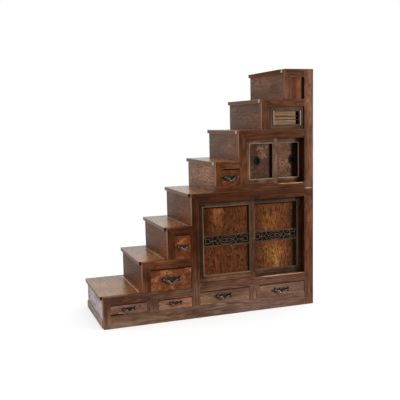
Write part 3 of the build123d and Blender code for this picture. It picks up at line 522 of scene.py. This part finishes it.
# %% The treads
RISER_FACES = (290, 481, 667, 857, 1042, 1227, 1414, 1655)
STRIP = 22.0                     # width of the strip between a tread's board and the next riser
TREAD_TOPS = (229, 451, 682, 913, 1130, 1355, 1580, 1800)
TOP_NOSING = 1390.0              # the top tread lies right of here
for step, (riser, top) in enumerate(zip(RISER_FACES, TREAD_TOPS), start=1):
    # Painted reflection of the next riser in the tread: amber beside it, darker further back, and a grey
    # sheen at the back.
    amber_reflection = ((riser - 20, 0, top), (190, 420, 90), "#6a3414", "#b26c36", 1.0)
    grey_back_reflection = ((riser - 120, 620, top), (240, 260, 60), "#4d4136", "#746456", 0.8)
    shade = ((riser - 20, 430, top), (110, 280, 60), "#3a2010", "#74482c", 0.55)
    seam = ((riser - STRIP, 250, top), (3.5, 400, 30), "#c8a480", "#f0d4b0",
            2.5 if step == 1 else 1.0)
    right_edge = ((1647, 333, top), (4, 900, 60), "#3c2214", "#6c442c", 9.0)
    # The nosings' front ends are painted dark as shade on steps 1 to 4 and pale as a highlight on steps
    # 5 to 8.
    tread_wood = lacquered_board(
        f"Keyaki_tread_{step}", "Y", "#6e4826", "#a37548", "#a76e40", ring_cell=(60, 480),
        streak=0.22, cloud=0.18, rough=0.24, specular=0.33, worn=("#c09c78", 0.5),
        dull_from=min(riser, TOP_NOSING),
        end="#34190f" if step < 5 else "#f8e8da", side_gloss=0.25,
        side=("#573016" if step < 5 else "#5a3820", 0.9, 3.0, 900),
        patches=[grey_back_reflection, amber_reflection, shade, seam, right_edge],
    )
    finish_node(f"step_{step}_tread", tread_wood)
print("treads finished")

# %% [markdown]
# ## Bare wood inside
# Back boards, floors, partitions and drawer guides are plain cedar, sawn and left bare, so they have
# the same growth rings but no gloss.

# %% Bare wood inside
LEVEL_SEAMS = (190, 330, 480)
BARE_BOARDS = {                  # grain, the axis across the boards, and where they meet on it
    "lower_back_boards": ("Z", "X", (310, 501, 687, 922.5, 1158, 1393.5)),
    "upper_back_boards": ("Z", "X", (1062, 1247, 1434)),
    "lower_floors": ("X", "Y", LEVEL_SEAMS), "upper_floors": ("X", "Y", LEVEL_SEAMS),
    "lower_partitions": ("Y", "Z", (229, 451)), "upper_partitions": ("Y", "Z", ()),
    "lower_drawer_guides": ("Y", "Z", ()),
}
for node, (grain, across, seams) in BARE_BOARDS.items():
    bare_wood = lacquered_board(f"Bare_cedar_{node}", grain, "#6a4c33", "#a07c58", "#a88256",
                                ring_cell=(80, 1100), ring_steps=8.0, streak=0.2, cloud=0.15, rough=0.75,
                                specular=0.15, worn=("#5c4430", 0.6), bump=0.4, plank=(across, seams))
    finish_node(node, bare_wood)
print("inside finished")

# %% [markdown]
# ## Burr wood
# Drawer fronts and door panels are cut from burr zelkova (tamamoku), whose rings wander in whirls
# round small eyes. The same map of height lines is used, but its coordinates are first pushed about
# by another noise, so that the lines curl. Patches where the fibres stand on end glow golden.

# %% Burr wood
def burr(name, dark, middle, gold, cell=21.0, swirl=0.022, glow=0.5, shift=(0.0, 0.0, 0.0),
         inside=None, stretch=(1.0, 1.0, 1.0), smoky=0.28, patches=()):
    """Whirled wood; behind a drawer's front, inside gives the two colours of its plain box."""
    material, tree = blank_material(name)
    coordinates = add(tree, "TexCoord")
    place = coordinates.outputs["Object"]
    moved = add(tree, "Mapping", {}, {"Vector": place, "Location": shift, "Scale": stretch})
    push = add(tree, "TexNoise", {}, {"Vector": moved, "Scale": 1000 / (1.7 * cell), "Detail": 2.0})
    middle_push = add(tree, "VectorMath", {"operation": "SUBTRACT"},
                      {0: push.outputs["Color"], 1: (0.5, 0.5, 0.5)})
    scaled_push = add(tree, "VectorMath", {"operation": "SCALE"}, {0: middle_push, "Scale": 2 * swirl})
    curled = add(tree, "VectorMath", {"operation": "ADD"}, {0: moved, 1: scaled_push})
    height = add(tree, "TexNoise", {}, {"Vector": curled, "Scale": 1000 / (1.6 * cell), "Detail": 1.5,
                                        "Roughness": 0.5, "Distortion": 0.4})
    steps_up = add(tree, "Math", TIMES, {0: height, 1: 7.0})
    ring = add(tree, "Math", {"operation": "FRACT"}, {0: steps_up})
    lines = add(tree, "ValToRGB", {"stops": [(0.0, grey(0)), (0.35, grey(0.6)), (0.70, grey(1)),
                                             (1.0, grey(0.0))]}, {"Fac": ring})
    eyes = add(tree, "TexVoronoi", {}, {"Vector": curled, "Scale": 1000 / (1.1 * cell)})
    eye_tone = add(tree, "MapRange", {}, {"Value": eyes, "From Min": 0.08, "From Max": 0.30,
                                          "To Min": 0.15, "To Max": 1.0})
    tone = add(tree, "Math", TIMES, {0: lines, 1: eye_tone})
    wood = add(tree, "Mix", COLOUR, {"Factor": tone, "A": linear(dark), "B": linear(middle)})
    clouds = add(tree, "TexNoise", {}, {"Vector": moved, "Scale": 1000 / (3.2 * cell), "Detail": 2.0})
    gold_at = add(tree, "MapRange", SMOOTH,
                  {"Value": clouds, "From Min": 0.60 - 0.25 * glow, "From Max": 0.78 - 0.15 * glow})
    gold_tone = add(tree, "Math", TIMES, {0: gold_at, 1: tone})
    wood = add(tree, "Mix", COLOUR, {"Factor": gold_tone, "A": wood, "B": linear(gold)})
    uneven = add(tree, "MapRange", {}, {"Value": clouds, "From Min": 0.30, "From Max": 0.60,
                                        "To Min": 0.85, "To Max": 1.08})
    wood = patched(tree, place, wood, tone, uneven, patches)
    smoke = add(tree, "TexNoise", {}, {"Vector": moved, "Scale": 1000 / (3.6 * cell), "Detail": 3.0})
    smoke_tone = add(tree, "MapRange", {}, {"Value": smoke, "From Min": 0.32, "From Max": 0.62,
                                            "To Min": 0.93 - smoky, "To Max": 0.93 + smoky})
    smoke_colour = add(tree, "CombineColor", {}, {0: smoke_tone, 1: smoke_tone, 2: smoke_tone})
    wood = add(tree, "Mix", {**COLOUR, "blend_type": "MULTIPLY"},
               {"Factor": 1.0, "A": wood, "B": smoke_colour})
    roughness = add(tree, "MapRange", {}, {"Value": tone, "To Min": 0.44, "To Max": 0.29})
    if inside:
        parts = add(tree, "SeparateXYZ", {}, {"Vector": place})
        box_from = at(0, 23.0, 0)[1]     # the front is 20 mm thick and 3 mm behind the frame
        is_box = add(tree, "Math", {"operation": "GREATER_THAN"}, {0: parts.outputs["Y"], 1: box_from})
        level_grain = add(tree, "Mapping", {}, {"Vector": place, "Scale": (60.0, 3.0, 60.0)})
        plain = add(tree, "TexNoise", {}, {"Vector": level_grain, "Scale": 1.0, "Detail": 3.0})
        bare = add(tree, "Mix", COLOUR,
                   {"Factor": plain, "A": linear(inside[0]), "B": linear(inside[1])})
        wood = add(tree, "Mix", COLOUR, {"Factor": is_box, "A": wood, "B": bare})
        roughness = add(tree, "Mix", {}, {"Factor": is_box, "A": roughness, "B": 0.75})
    relief = add(tree, "Bump", {}, {"Strength": 0.15, "Distance": 0.0005, "Height": tone})
    panel = add(tree, "BsdfPrincipled", {}, {"Base Color": wood, "Roughness": roughness,
                                             "Normal": relief, "Specular IOR Level": 0.25,
                                             "Specular Tint": linear(LACQUER_TINT)})
    add(tree, "OutputMaterial", {}, {"Surface": panel})
    return material


print("burr wood ready")

# %% The drawers
KIRI = ("#a98c68", "#c4a984")
DRAWER_TONES = {                 # dark, middle and golden tone of each front
    1: ("#52352a", "#705144", "#8f6b5a"),
    2: ("#704936", "#936951", "#be916d"),
    3: ("#3e1f12", "#744229", "#aa6c42"),
    4: ("#3b1c0d", "#6e3b22", "#9e5e36"),
    5: ("#624735", "#785845", "#967250"),
    6: ("#553d33", "#684d3f", "#785b48"),
    7: ("#32190c", "#613722", "#8c512d"),
}
# Painted shade: a black wedge at the lower left corner of drawer 1, where a gap lies in shade.
CORNER_GAP_SHADE = ((90, 0, 92), (60, 60, 11), "#050302", "#0a0604", 9.0)
FRONT_MIDDLES = {1: 186, 2: 528, 3: 501, 4: 594, 5: 914, 6: 1382, 7: 972}
FRONT_TOPS = {1: 166, 2: 166, 3: 390, 4: 628, 5: 190, 6: 190, 7: 1081}
for number, tones in DRAWER_TONES.items():
    plain_grain = number in (1, 2, 5, 6)
    # Each front gets a dark line along its top, painted shade under the rail above.
    patches = [((FRONT_MIDDLES[number], 0, FRONT_TOPS[number]), (400, 60, 5 if plain_grain else 9),
                "#0c0502", "#1c0d06", 2.1 if plain_grain else 3.0)]
    if number == 1:
        patches.append(CORNER_GAP_SHADE)
    front = burr(f"Burr_keyaki_drawer_{number}", *tones, inside=KIRI, shift=(0, 0, 0.31 * number),
                 stretch=(0.22, 1.0, 1.1) if plain_grain else (0.8, 1.0, 1.1),
                 cell=24.0 if plain_grain else 18.0, patches=patches)
    finish_node(f"drawer_{number}", front)
print(len(DRAWER_TONES), "drawers finished")

# %% [markdown]
# ## Doors
# Each sliding door is a mitred frame in dark, almost olive lacquer round a bevelled panel. The grain
# turns at the mitre: a point belongs to an upright where it is nearer to the door's side than to its
# end.

# %% The doors' frames
TONGUE_DOWN, TONGUE_UP = 3.5, 10.0


def mitred_door(node):
    """The middle, half width and half height of a door's frame, without its tongues."""
    low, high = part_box(node)
    low_z, high_z = low[2] + TONGUE_DOWN / 1000, high[2] - TONGUE_UP / 1000
    centre = ((low[0] + high[0]) / 2, 0, (low_z + high_z) / 2)
    return centre, (high[0] - low[0]) / 2, (high_z - low_z) / 2


DOOR_TONES = {"left": ("#20130b", "#473225", "#573c28"), "right": ("#1e110a", "#422d20", "#523725"),
              "small_left": ("#30211a", "#5e4636", "#6e5038"),
              "small_right": ("#30211a", "#5e4636", "#6e5038")}
POST_AND_RAIL_SHADE = ("#150d07", "#2c1d13")  # painted shade, where posts and rails stand in front of the doors
# Patches on the door frames, mostly painted shade where posts, rails and the other door stand in front
# and shade them. Two paler patches lighten the bottom rail of the large left door and the meeting stile
# of the small left door.
IN_SHADE = {"left": [((728, 15, 556), (50, 300, 900), *POST_AND_RAIL_SHADE, 2.2),
                     ((900, 15, 862), (900, 300, 40), *POST_AND_RAIL_SHADE, 1.9),
                     ((930, 15, 270), (330, 300, 40), "#402a1d", "#70523c", 1.1)],
            "right": [((1590, 40, 556), (75, 300, 900), *POST_AND_RAIL_SHADE, 1.08),
                      ((1350, 15, 862), (900, 300, 40), *POST_AND_RAIL_SHADE, 2.2)],
            "small_left": [((1085, 15, 1135), (62, 300, 600), "#2e150b", "#66402c", 1.2),
                           ((1088, 15, 1135), (8, 300, 900), *POST_AND_RAIL_SHADE, 4.0),
                           ((1200, 15, 950), (300, 300, 40), "#2a170c", "#4a2e1e", 1.6),
                           ((1200, 15, 1304), (400, 300, 46), "#24150c", "#452c1e", 1.9),
                           ((1342, 15, 1130), (26, 300, 300), "#4c3a2a", "#846850", 1.2)],
            "small_right": [((1460, 40, 950), (300, 300, 40), "#2a170c", "#4a2e1e", 1.6),
                            ((1545, 40, 1130), (9, 300, 600), *POST_AND_RAIL_SHADE, 9.0),
                            ((1578, 40, 1130), (27, 300, 600), *POST_AND_RAIL_SHADE, 9.0),
                            ((1460, 40, 1304), (400, 300, 30), "#24150c", "#452c1e", 1.6)]}
# The bevels of the door frames are paler: partly wear, partly a painted highlight where they catch the
# light.
WORN_AND_LIT_BEVELS = {"left": ("#7e6650", 0.6), "right": ("#5c4c40", 0.5),
              "small_left": ("#a08a70", 0.7), "small_right": ("#988470", 0.7)}
for door, tones in DOOR_TONES.items():
    frame_wood = lacquered_board(
        f"Dark_lacquer_{door}_door", "XZ", *tones, ring_cell=(40, 500), worn=WORN_AND_LIT_BEVELS[door],
        mitred=mitred_door(f"{door}_door_frame"), patches=IN_SHADE[door],
    )
    finish_node(f"{door}_door_frame", frame_wood)
print(len(DOOR_TONES), "door frames finished")

# %% The doors' panels
FLAME = (1.0, 1.0, 0.32)         # the large panels' whirls are drawn out upwards like flames
# Painted shade on the panels: the near-black tones are put beside and under the frames, where their
# shadows fall. The paler patches among them lighten the wood in broad areas.
PANEL_SHADE = ("#0c0603", "#1c0e06")
left_panel_glow_and_shade = [((880, 27, 690), (120, 90, 170), "#42200c", "#865426", 0.2),
             ((990, 27, 400), (240, 90, 150), "#3c1c10", "#744626", 0.3),
             ((760, 27, 690), (90, 90, 300), *PANEL_SHADE, 0.6),
             ((940, 27, 808), (400, 60, 13), *PANEL_SHADE, 2.5),
             ((1121, 27, 556), (20, 60, 900), *PANEL_SHADE, 2.5)]
right_panel_glow_and_shade = [((1295, 52, 668), (120, 90, 130), "#4c2a12", "#9a6834", 0.4),
              ((1170, 52, 556), (110, 90, 900), *PANEL_SHADE, 0.55),
              ((1340, 52, 425), (125, 90, 120), "#583211", "#a87438", 0.6),
              ((1535, 52, 556), (120, 90, 900), *PANEL_SHADE, 1.0),
              ((1340, 52, 808), (400, 60, 10), *PANEL_SHADE, 2.5),
              ((1530, 52, 556), (34, 60, 900), *PANEL_SHADE, 4.0)]
large_left = burr("Burr_keyaki_left_panels", "#29120a", "#5f3319", "#85542c", cell=24, glow=0.15,
                  stretch=FLAME, smoky=0.15, patches=left_panel_glow_and_shade)
large_right = burr("Burr_keyaki_right_panels", "#341a0c", "#704022", "#a0693c", cell=24, glow=0.15,
                   stretch=FLAME, smoky=0.15, patches=right_panel_glow_and_shade, shift=(0.3, 0, 0))
finish_node("left_door_panels", large_left)
finish_node("right_door_panels", large_right)
# Painted shade: a dark strip at the right edge of each small panel, where the frame's shadow falls.
small_left_panel_shade = [((1321, 27, 1135), (34, 60, 900), *PANEL_SHADE, 4.0)]
small_right_panel_shade = [((1552, 52, 1135), (92, 90, 900), *PANEL_SHADE, 2.0)]
small_left = burr("Burr_keyaki_small_left_panel", "#291711", "#563c30", "#886a52", cell=34, swirl=0.05,
                  patches=small_left_panel_shade)
small_right = burr("Burr_keyaki_small_right_panel", "#422c1f", "#745340", "#99785b", cell=34,
                   swirl=0.05, patches=small_right_panel_shade, shift=(0.3, 0, 0))
finish_node("small_left_door_panel", small_left)
finish_node("small_right_door_panel", small_right)
print("panels finished")

# %% [markdown]
# Across each large door runs a band of openwork (sukashi): two battens, and between them thin
# carved strokes before a board lacquered black. From the middle outwards the strokes are an eye under
# two arches, a star with hollow sides, two curls and a ring. A strip with holes would leave too much
# wood, so each stroke is a line with a round section instead, as a carver leaves it.

# %% The openwork's strokes
BATTEN, RING_IN, STAR_AT, STROKE = 9.0, 31.0, 71.0, 2.1     # millimetres


def oval(across, rise, wide, tall, start=0.0, end=2 * pi, power=1, count=25):
    """Points round an oval, or round a star where power is 3."""
    angles = [start + (end - start) * i / (count - 1) for i in range(count)]
    return [(across + wide * cos(a) ** power, rise + tall * sin(a) ** power) for a in angles]


def openwork_strokes(half):
    """The strokes of a band of this half width, round its middle."""
    ring_at = half - RING_IN
    strokes = [oval(0, 0, 6.5, 6.5), oval(0, 0, 42, 14)]
    strokes += [oval(0, hand * 9, 50, 21, start=0, end=hand * pi) for hand in (-1, 1)]
    for hand in (-1, 1):
        strokes.append(oval(hand * ring_at, 0, 19, 19))
        strokes.append(oval(hand * STAR_AT, 0, 25, 30, power=3, count=41))
        strokes.append([(hand * 42, 0), (hand * (STAR_AT - 24), 0)])
        strokes.append([(hand * (STAR_AT + 24), 0), (hand * (ring_at - 19), 0)])
        for side in (-1, 1):
            strokes.append(oval(hand * (ring_at - 33), side * 17, 9, 14, start=-pi / 2, end=pi))
            strokes.append([(hand * (ring_at + 14), side * 14), (hand * (half - 1), side * 31)])
    return strokes


print(len(openwork_strokes(170.0)), "strokes in a band")

# %% [markdown]
# The strips are boxes with eased edges, joined in one mesh. The strokes are curves with a round
# section, which are then made a mesh, as each piece keeps its place in its mesh. A finished piece
# rides on a body of the chest: it moves with that door or drawer.

# %% Boxes and rods
def add_piece(name, mesh, material, body):
    """A finished piece with its material, which rides on a body of the chest."""
    piece = bpy.data.objects.new(name, mesh)
    scene.collection.objects.link(piece)
    mesh.materials.clear()
    mesh.materials.append(material)
    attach(piece, body)
    return piece


def as_mesh(name, shape):
    """A mesh with that name, from a bmesh that isn't needed any more."""
    mesh = bpy.data.meshes.new(name)
    shape.to_mesh(mesh)
    shape.free()
    return mesh


def drawn_curve(name, radius, fineness):
    """An empty curve that will be a round rod of this radius."""
    curve = bpy.data.curves.new(name, "CURVE")
    curve.dimensions = "3D"
    curve.bevel_depth = radius
    curve.bevel_resolution = fineness
    curve.use_fill_caps = True
    return curve


def curve_as_mesh(name, curve):
    """A mesh with that name, from a curve that isn't needed any more."""
    holder = bpy.data.objects.new(name + "_line", curve)
    scene.collection.objects.link(holder)
    bpy.context.view_layer.update()
    mesh = bpy.data.meshes.new_from_object(holder.evaluated_get(bpy.context.evaluated_depsgraph_get()))
    bpy.data.objects.remove(holder)
    bpy.data.curves.remove(curve)
    mesh.name = name
    return mesh


def box_mesh(name, boxes, bevel):
    """Boxes with eased edges, each between two corners in metres, as one mesh."""
    shape = bmesh.new()
    for low, high in boxes:
        middle, size = (low + high) / 2, high - low
        bmesh.ops.create_cube(shape, size=1.0,
                              matrix=Matrix.Translation(middle) @ Matrix.Diagonal((*size, 1)))
    if bevel:
        bmesh.ops.bevel(shape, geom=shape.edges[:], affect="EDGES", offset=bevel, segments=2,
                        profile=0.5, material=-1)
    return as_mesh(name, shape)


def rods_mesh(name, lines, radius):
    """Round rods along lines of places, as one mesh."""
    drawn = drawn_curve(name, radius, 2)
    for places in lines:
        spline = drawn.splines.new("POLY")
        spline.points.add(len(places) - 1)
        for point, place in zip(spline.points, places):
            point.co = (*place, 1.0)
    mesh = curve_as_mesh(name, drawn)
    mesh.shade_smooth()
    return mesh


print("boxes and rods ready")

# %% The openwork bands
EASED = 0.0012                   # metres planed off the edges of small strips
BLACK_DEPTH, STROKE_DEPTH = 0.0055, 0.0034    # metres behind the battens' face
batten_wood = lacquered_board("Openwork_worn_keyaki", "X", "#20170f", "#423328", "#483727",
                              rough=0.5, worn=("#70604f", 0.9))
band_black = lacquered_board("Openwork_black_lacquer", "X", "#070504", "#120d09", "#1a120b",
                             rough=0.5, specular=0.15, worn=("#1a120b", 0.2))
for side in ("left", "right"):
    low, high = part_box(f"{side}_door_band")
    low, high = Vector(low), Vector(high)
    middle, half = (low + high) / 2, 500 * (high[0] - low[0])
    inner_low, inner_high = low[2] + BATTEN / 1000, high[2] - BATTEN / 1000
    battens = box_mesh(f"{side}_band_battens",
                       [(low, Vector((high[0], high[1], inner_low))),
                        (Vector((low[0], low[1], inner_high)), high)], EASED)
    board = box_mesh(f"{side}_band_board",
                     [(Vector((low[0], low[1] + BLACK_DEPTH, inner_low)),
                       Vector((high[0], high[1], inner_high)))], 0)
    lines = [[Vector((middle[0] + a / 1000, low[1] + STROKE_DEPTH, middle[2] + b / 1000))
              for a, b in stroke] for stroke in openwork_strokes(half)]
    strokes = rods_mesh(f"{side}_band_openwork", lines, STROKE / 1000)
    add_piece(f"{side}_band_battens", battens, batten_wood, f"{side}_door")
    add_piece(f"{side}_band_openwork", strokes, batten_wood, f"{side}_door")
    backing = add_piece(f"{side}_band_board", board, band_black, f"{side}_door")
    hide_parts(f"{side}_door_band")
    print(side, "band:", len(lines), "strokes, half width", round(half), "mm")

# %% [markdown]
# The window of step 7 is a weathered frame with thin dark bars, before a shutter of bare kiri. The plain
# door of step 8 goes from maroon to tan across its width. Shade is painted along the window's sides and
# head and along the right edge of the door.

# %% The window and the top door
bars = ((1429, 10, 1442), (115, 60, 47), "#120803", "#2a1608", 9.0)
# Painted shade: near-black strips at the sides and head of the window, where the posts and head shade
# it.
window_right_shade = ((1578, 10, 1440), (9, 60, 400), "#0c0603", "#1a0f08", 3.0)
window_left_shade = ((1286, 10, 1440), (9, 60, 400), "#0c0603", "#1a0f08", 3.0)
window_head_shade = ((1429, 10, 1531), (400, 60, 8), "#0c0603", "#1a0f08", 2.5)
window_wood = lacquered_board("Weathered_window_frame", "XZ", "#291c13", "#4c3828", "#56402e",
                              mitred=mitred_door("window_door_frame"), rough=0.5, worn=("#8c7c68", 0.25),
                              patches=[bars, window_right_shade, window_left_shade, window_head_shade])
shutter_wood = lacquered_board("Bare_kiri_shutter", "X", "#644a35", "#94775a", "#a0805c", rough=0.6,
                               ring_cell=(30, 400), streak=0.2)
tan_edge = ((1570, 26, 1660), (75, 60, 400), "#592e17", "#884f2c", 0.8)
# Painted shade: a near-black strip at the right edge of the top door, in the shadow of the post.
post_shade_on_top_door = ((1578, 10, 1660), (33, 60, 400), "#0c0603", "#1a0d07", 3.0)
top_door_wood = lacquered_board("Keyaki_top_door", "Z", "#2c1008", "#532b1c", "#68391a",
                                ring_cell=(40, 500), patches=[tan_edge, post_shade_on_top_door])
finish_node("window_door_frame", window_wood)
finish_node("window_shutter", shutter_wood)
finish_node("top_door", top_door_wood)
beads = box_mesh("window_beads",
                 [(at(x, 4.5, 1388), at(x + 5, 8.5, 1496)) for x in (1320, 1541)], EASED)
bead_wood = lacquered_board("Window_beads_bare_wood", "Z", "#8a7a66", "#c0b09a", "#c8b49a", rough=0.6,
                            worn=("#d0c0aa", 0.8))
add_piece("window_beads", beads, bead_wood, "window_door")
print("window and top door finished")

# %% [markdown]
# ## Iron
# The fittings are forged iron, blackened with lacquer. Hands have rubbed the bails to a dull grey.

# %% Iron
def forged_iron(name, black, bright, rough=0.42):
    """Hammered iron: black in its hollows and grey where it is rubbed."""
    material, tree = blank_material(name)
    place = add(tree, "TexCoord").outputs["Object"]
    # Hammer marks are about 6 mm apart, and the pitted skin about 1 mm.
    marks = add(tree, "TexNoise", {}, {"Vector": place, "Scale": 1000 / 6.0, "Detail": 2.0})
    skin = add(tree, "TexNoise", {}, {"Vector": place, "Scale": 1000 / 1.2, "Detail": 3.0})
    wear = add(tree, "MapRange", {}, {"Value": marks, "From Min": 0.40, "From Max": 0.65})
    colour = add(tree, "Mix", COLOUR,
                 {"Factor": wear, "A": linear(black), "B": linear(bright)})
    gloss = add(tree, "MapRange", {}, {"Value": skin, "To Min": rough + 0.12, "To Max": rough - 0.12})
    hammered = add(tree, "Bump", {}, {"Strength": 0.4, "Distance": 0.0008, "Height": marks})
    iron = add(tree, "BsdfPrincipled", {},
               {"Base Color": colour, "Roughness": gloss, "Normal": hammered, "Metallic": 0.85})
    add(tree, "OutputMaterial", {}, {"Surface": iron})
    return material


black_iron = forged_iron("Black_lacquered_iron", "#080605", "#1c1815")
brown_iron = forged_iron("Brown_lacquered_iron", "#1c1612", "#4c423a")
rubbed_iron = forged_iron("Rubbed_forged_iron", "#4c443c", "#8e8478", rough=0.54)
for number in range(1, 8):
    finish_node(f"drawer_{number}_plates", brown_iron)
for side in ("left", "right"):
    finish_node(f"small_{side}_door_pull", black_iron)
print("iron ready")

# %% [markdown]
# ## The bails
# A bail is one forged rod: thin and curled at its ends like a young fern, straight through the two
# eyes, and thickest in the dip where the fingers pull. A curve with a radius at each point draws
# that rod; it is then made a mesh, and a small ball closes each end.

# %% The bails
BAILS = {                        # middle of each pull on the drawing, and its width, in millimetres
    1: (186, 131, 114), 2: (528, 133, 114), 3: (503, 311, 166), 4: (597, 542, 110),
    5: (905, 146, 150), 6: (1377, 140, 156), 7: (973, 1019, 128),
}
PIVOT_Y = -12.0
HALF_BAIL = (                    # place across and up, as shares of the width, and share of the rod
    (0.352, 0.052, 0.75), (0.372, 0.066, 0.80), (0.398, 0.052, 0.85), (0.400, 0.020, 0.90),
    (0.372, 0.000, 1.0), (0.330, 0.000, 1.0), (0.285, 0.000, 1.0), (0.225, 0.000, 1.05),
    (0.165, -0.030, 1.25), (0.095, -0.140, 1.45), (0.035, -0.172, 1.55),
)


def bail_mesh(name, x, z, width):
    """One bail as a mesh, in its place."""
    rod = max(2.7, 0.02 * width) / 1000
    line = drawn_curve(name, rod, 4)
    line.resolution_u = 4
    half = list(HALF_BAIL)
    shares = [(-a, b, c) for a, b, c in half] + list(reversed(half))
    spline = line.splines.new("NURBS")
    spline.points.add(len(shares) - 1)
    for point, (across, rise, thick) in zip(spline.points, shares):
        place = at(x + across * width, PIVOT_Y, z + rise * width)
        point.co = (*place, 1.0)
        point.radius = thick
    spline.order_u = 4
    spline.use_endpoint_u = True
    rod_mesh = curve_as_mesh(name + "_rod", line)
    shape = bmesh.new()
    shape.from_mesh(rod_mesh)
    bpy.data.meshes.remove(rod_mesh)
    for hand in (-1, 1):
        tip = at(x + hand * HALF_BAIL[0][0] * width, PIVOT_Y, z + HALF_BAIL[0][1] * width)
        bmesh.ops.create_uvsphere(shape, u_segments=14, v_segments=10, radius=rod * 1.15,
                                  matrix=Matrix.Translation(tip))
    bmesh.ops.recalc_face_normals(shape, faces=shape.faces)
    for face in shape.faces:
        face.smooth = True
    return as_mesh(name, shape)


for number, (x, z, width) in BAILS.items():
    forged = bail_mesh(f"bail_{number}_forged", x, z, width)
    bail = add_piece(f"bail_{number}_forged", forged, rubbed_iron, f"bail_{number}")
    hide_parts(f"drawer_{number}_bail")
print(len(BAILS), "bails forged")

# %% [markdown]
# ## Links and nails
# A small round link joins each lobed plate to the shield, and dome-headed nails hold the plates. A link
# is a short cylinder with eased edges and a dome is a sphere pressed flat; each pull has one piece of
# each kind.

# %% Links and nails
NAILS = ((-0.352, 0.055), (-0.352, -0.055), (0.352, 0.055), (0.352, -0.055), (-0.105, 0.062),
         (0.105, 0.062), (0.0, -0.105))
NAIL_RADIUS, NAIL_HEIGHT, PLATE_FACE = 3.2, 1.8, 1.0
LINK_AT, LINK_RISE, LINK_SHARE = 0.195, 0.025, 0.06      # shares of the pull's width
LINK_THICK, LINK_FACE = 1.7, 2.2
for number, (x, z, width) in BAILS.items():
    links = bmesh.new()
    for hand in (-1, 1):
        place = Matrix.Translation(at(x + hand * LINK_AT * width, LINK_FACE, z + LINK_RISE * width))
        bmesh.ops.create_cone(links, cap_ends=True, segments=28, radius1=LINK_SHARE * width / 1000,
                              radius2=LINK_SHARE * width / 1000, depth=LINK_THICK / 1000,
                              matrix=place @ Matrix.Rotation(pi / 2, 4, "X"))
    bmesh.ops.bevel(links, geom=links.edges[:], affect="EDGES", offset=0.0004, segments=2,
                    profile=0.5, material=-1)
    link_name, nail_name = f"pull_{number}_links", f"pull_{number}_nails"
    add_piece(link_name, as_mesh(link_name, links), brown_iron, f"drawer_{number}")
    nails = bmesh.new()
    for across, rise in NAILS:
        place = Matrix.Translation(at(x + across * width, PLATE_FACE, z + rise * width))
        flat = Matrix.Diagonal((1.0, NAIL_HEIGHT / NAIL_RADIUS, 1.0, 1.0))
        bmesh.ops.create_uvsphere(nails, u_segments=12, v_segments=8, radius=NAIL_RADIUS / 1000,
                                  matrix=place @ flat)
    for face in nails.faces:
        face.smooth = True
    add_piece(nail_name, as_mesh(nail_name, nails), black_iron, f"drawer_{number}")
print(len(NAILS) * len(BAILS), "nails driven")
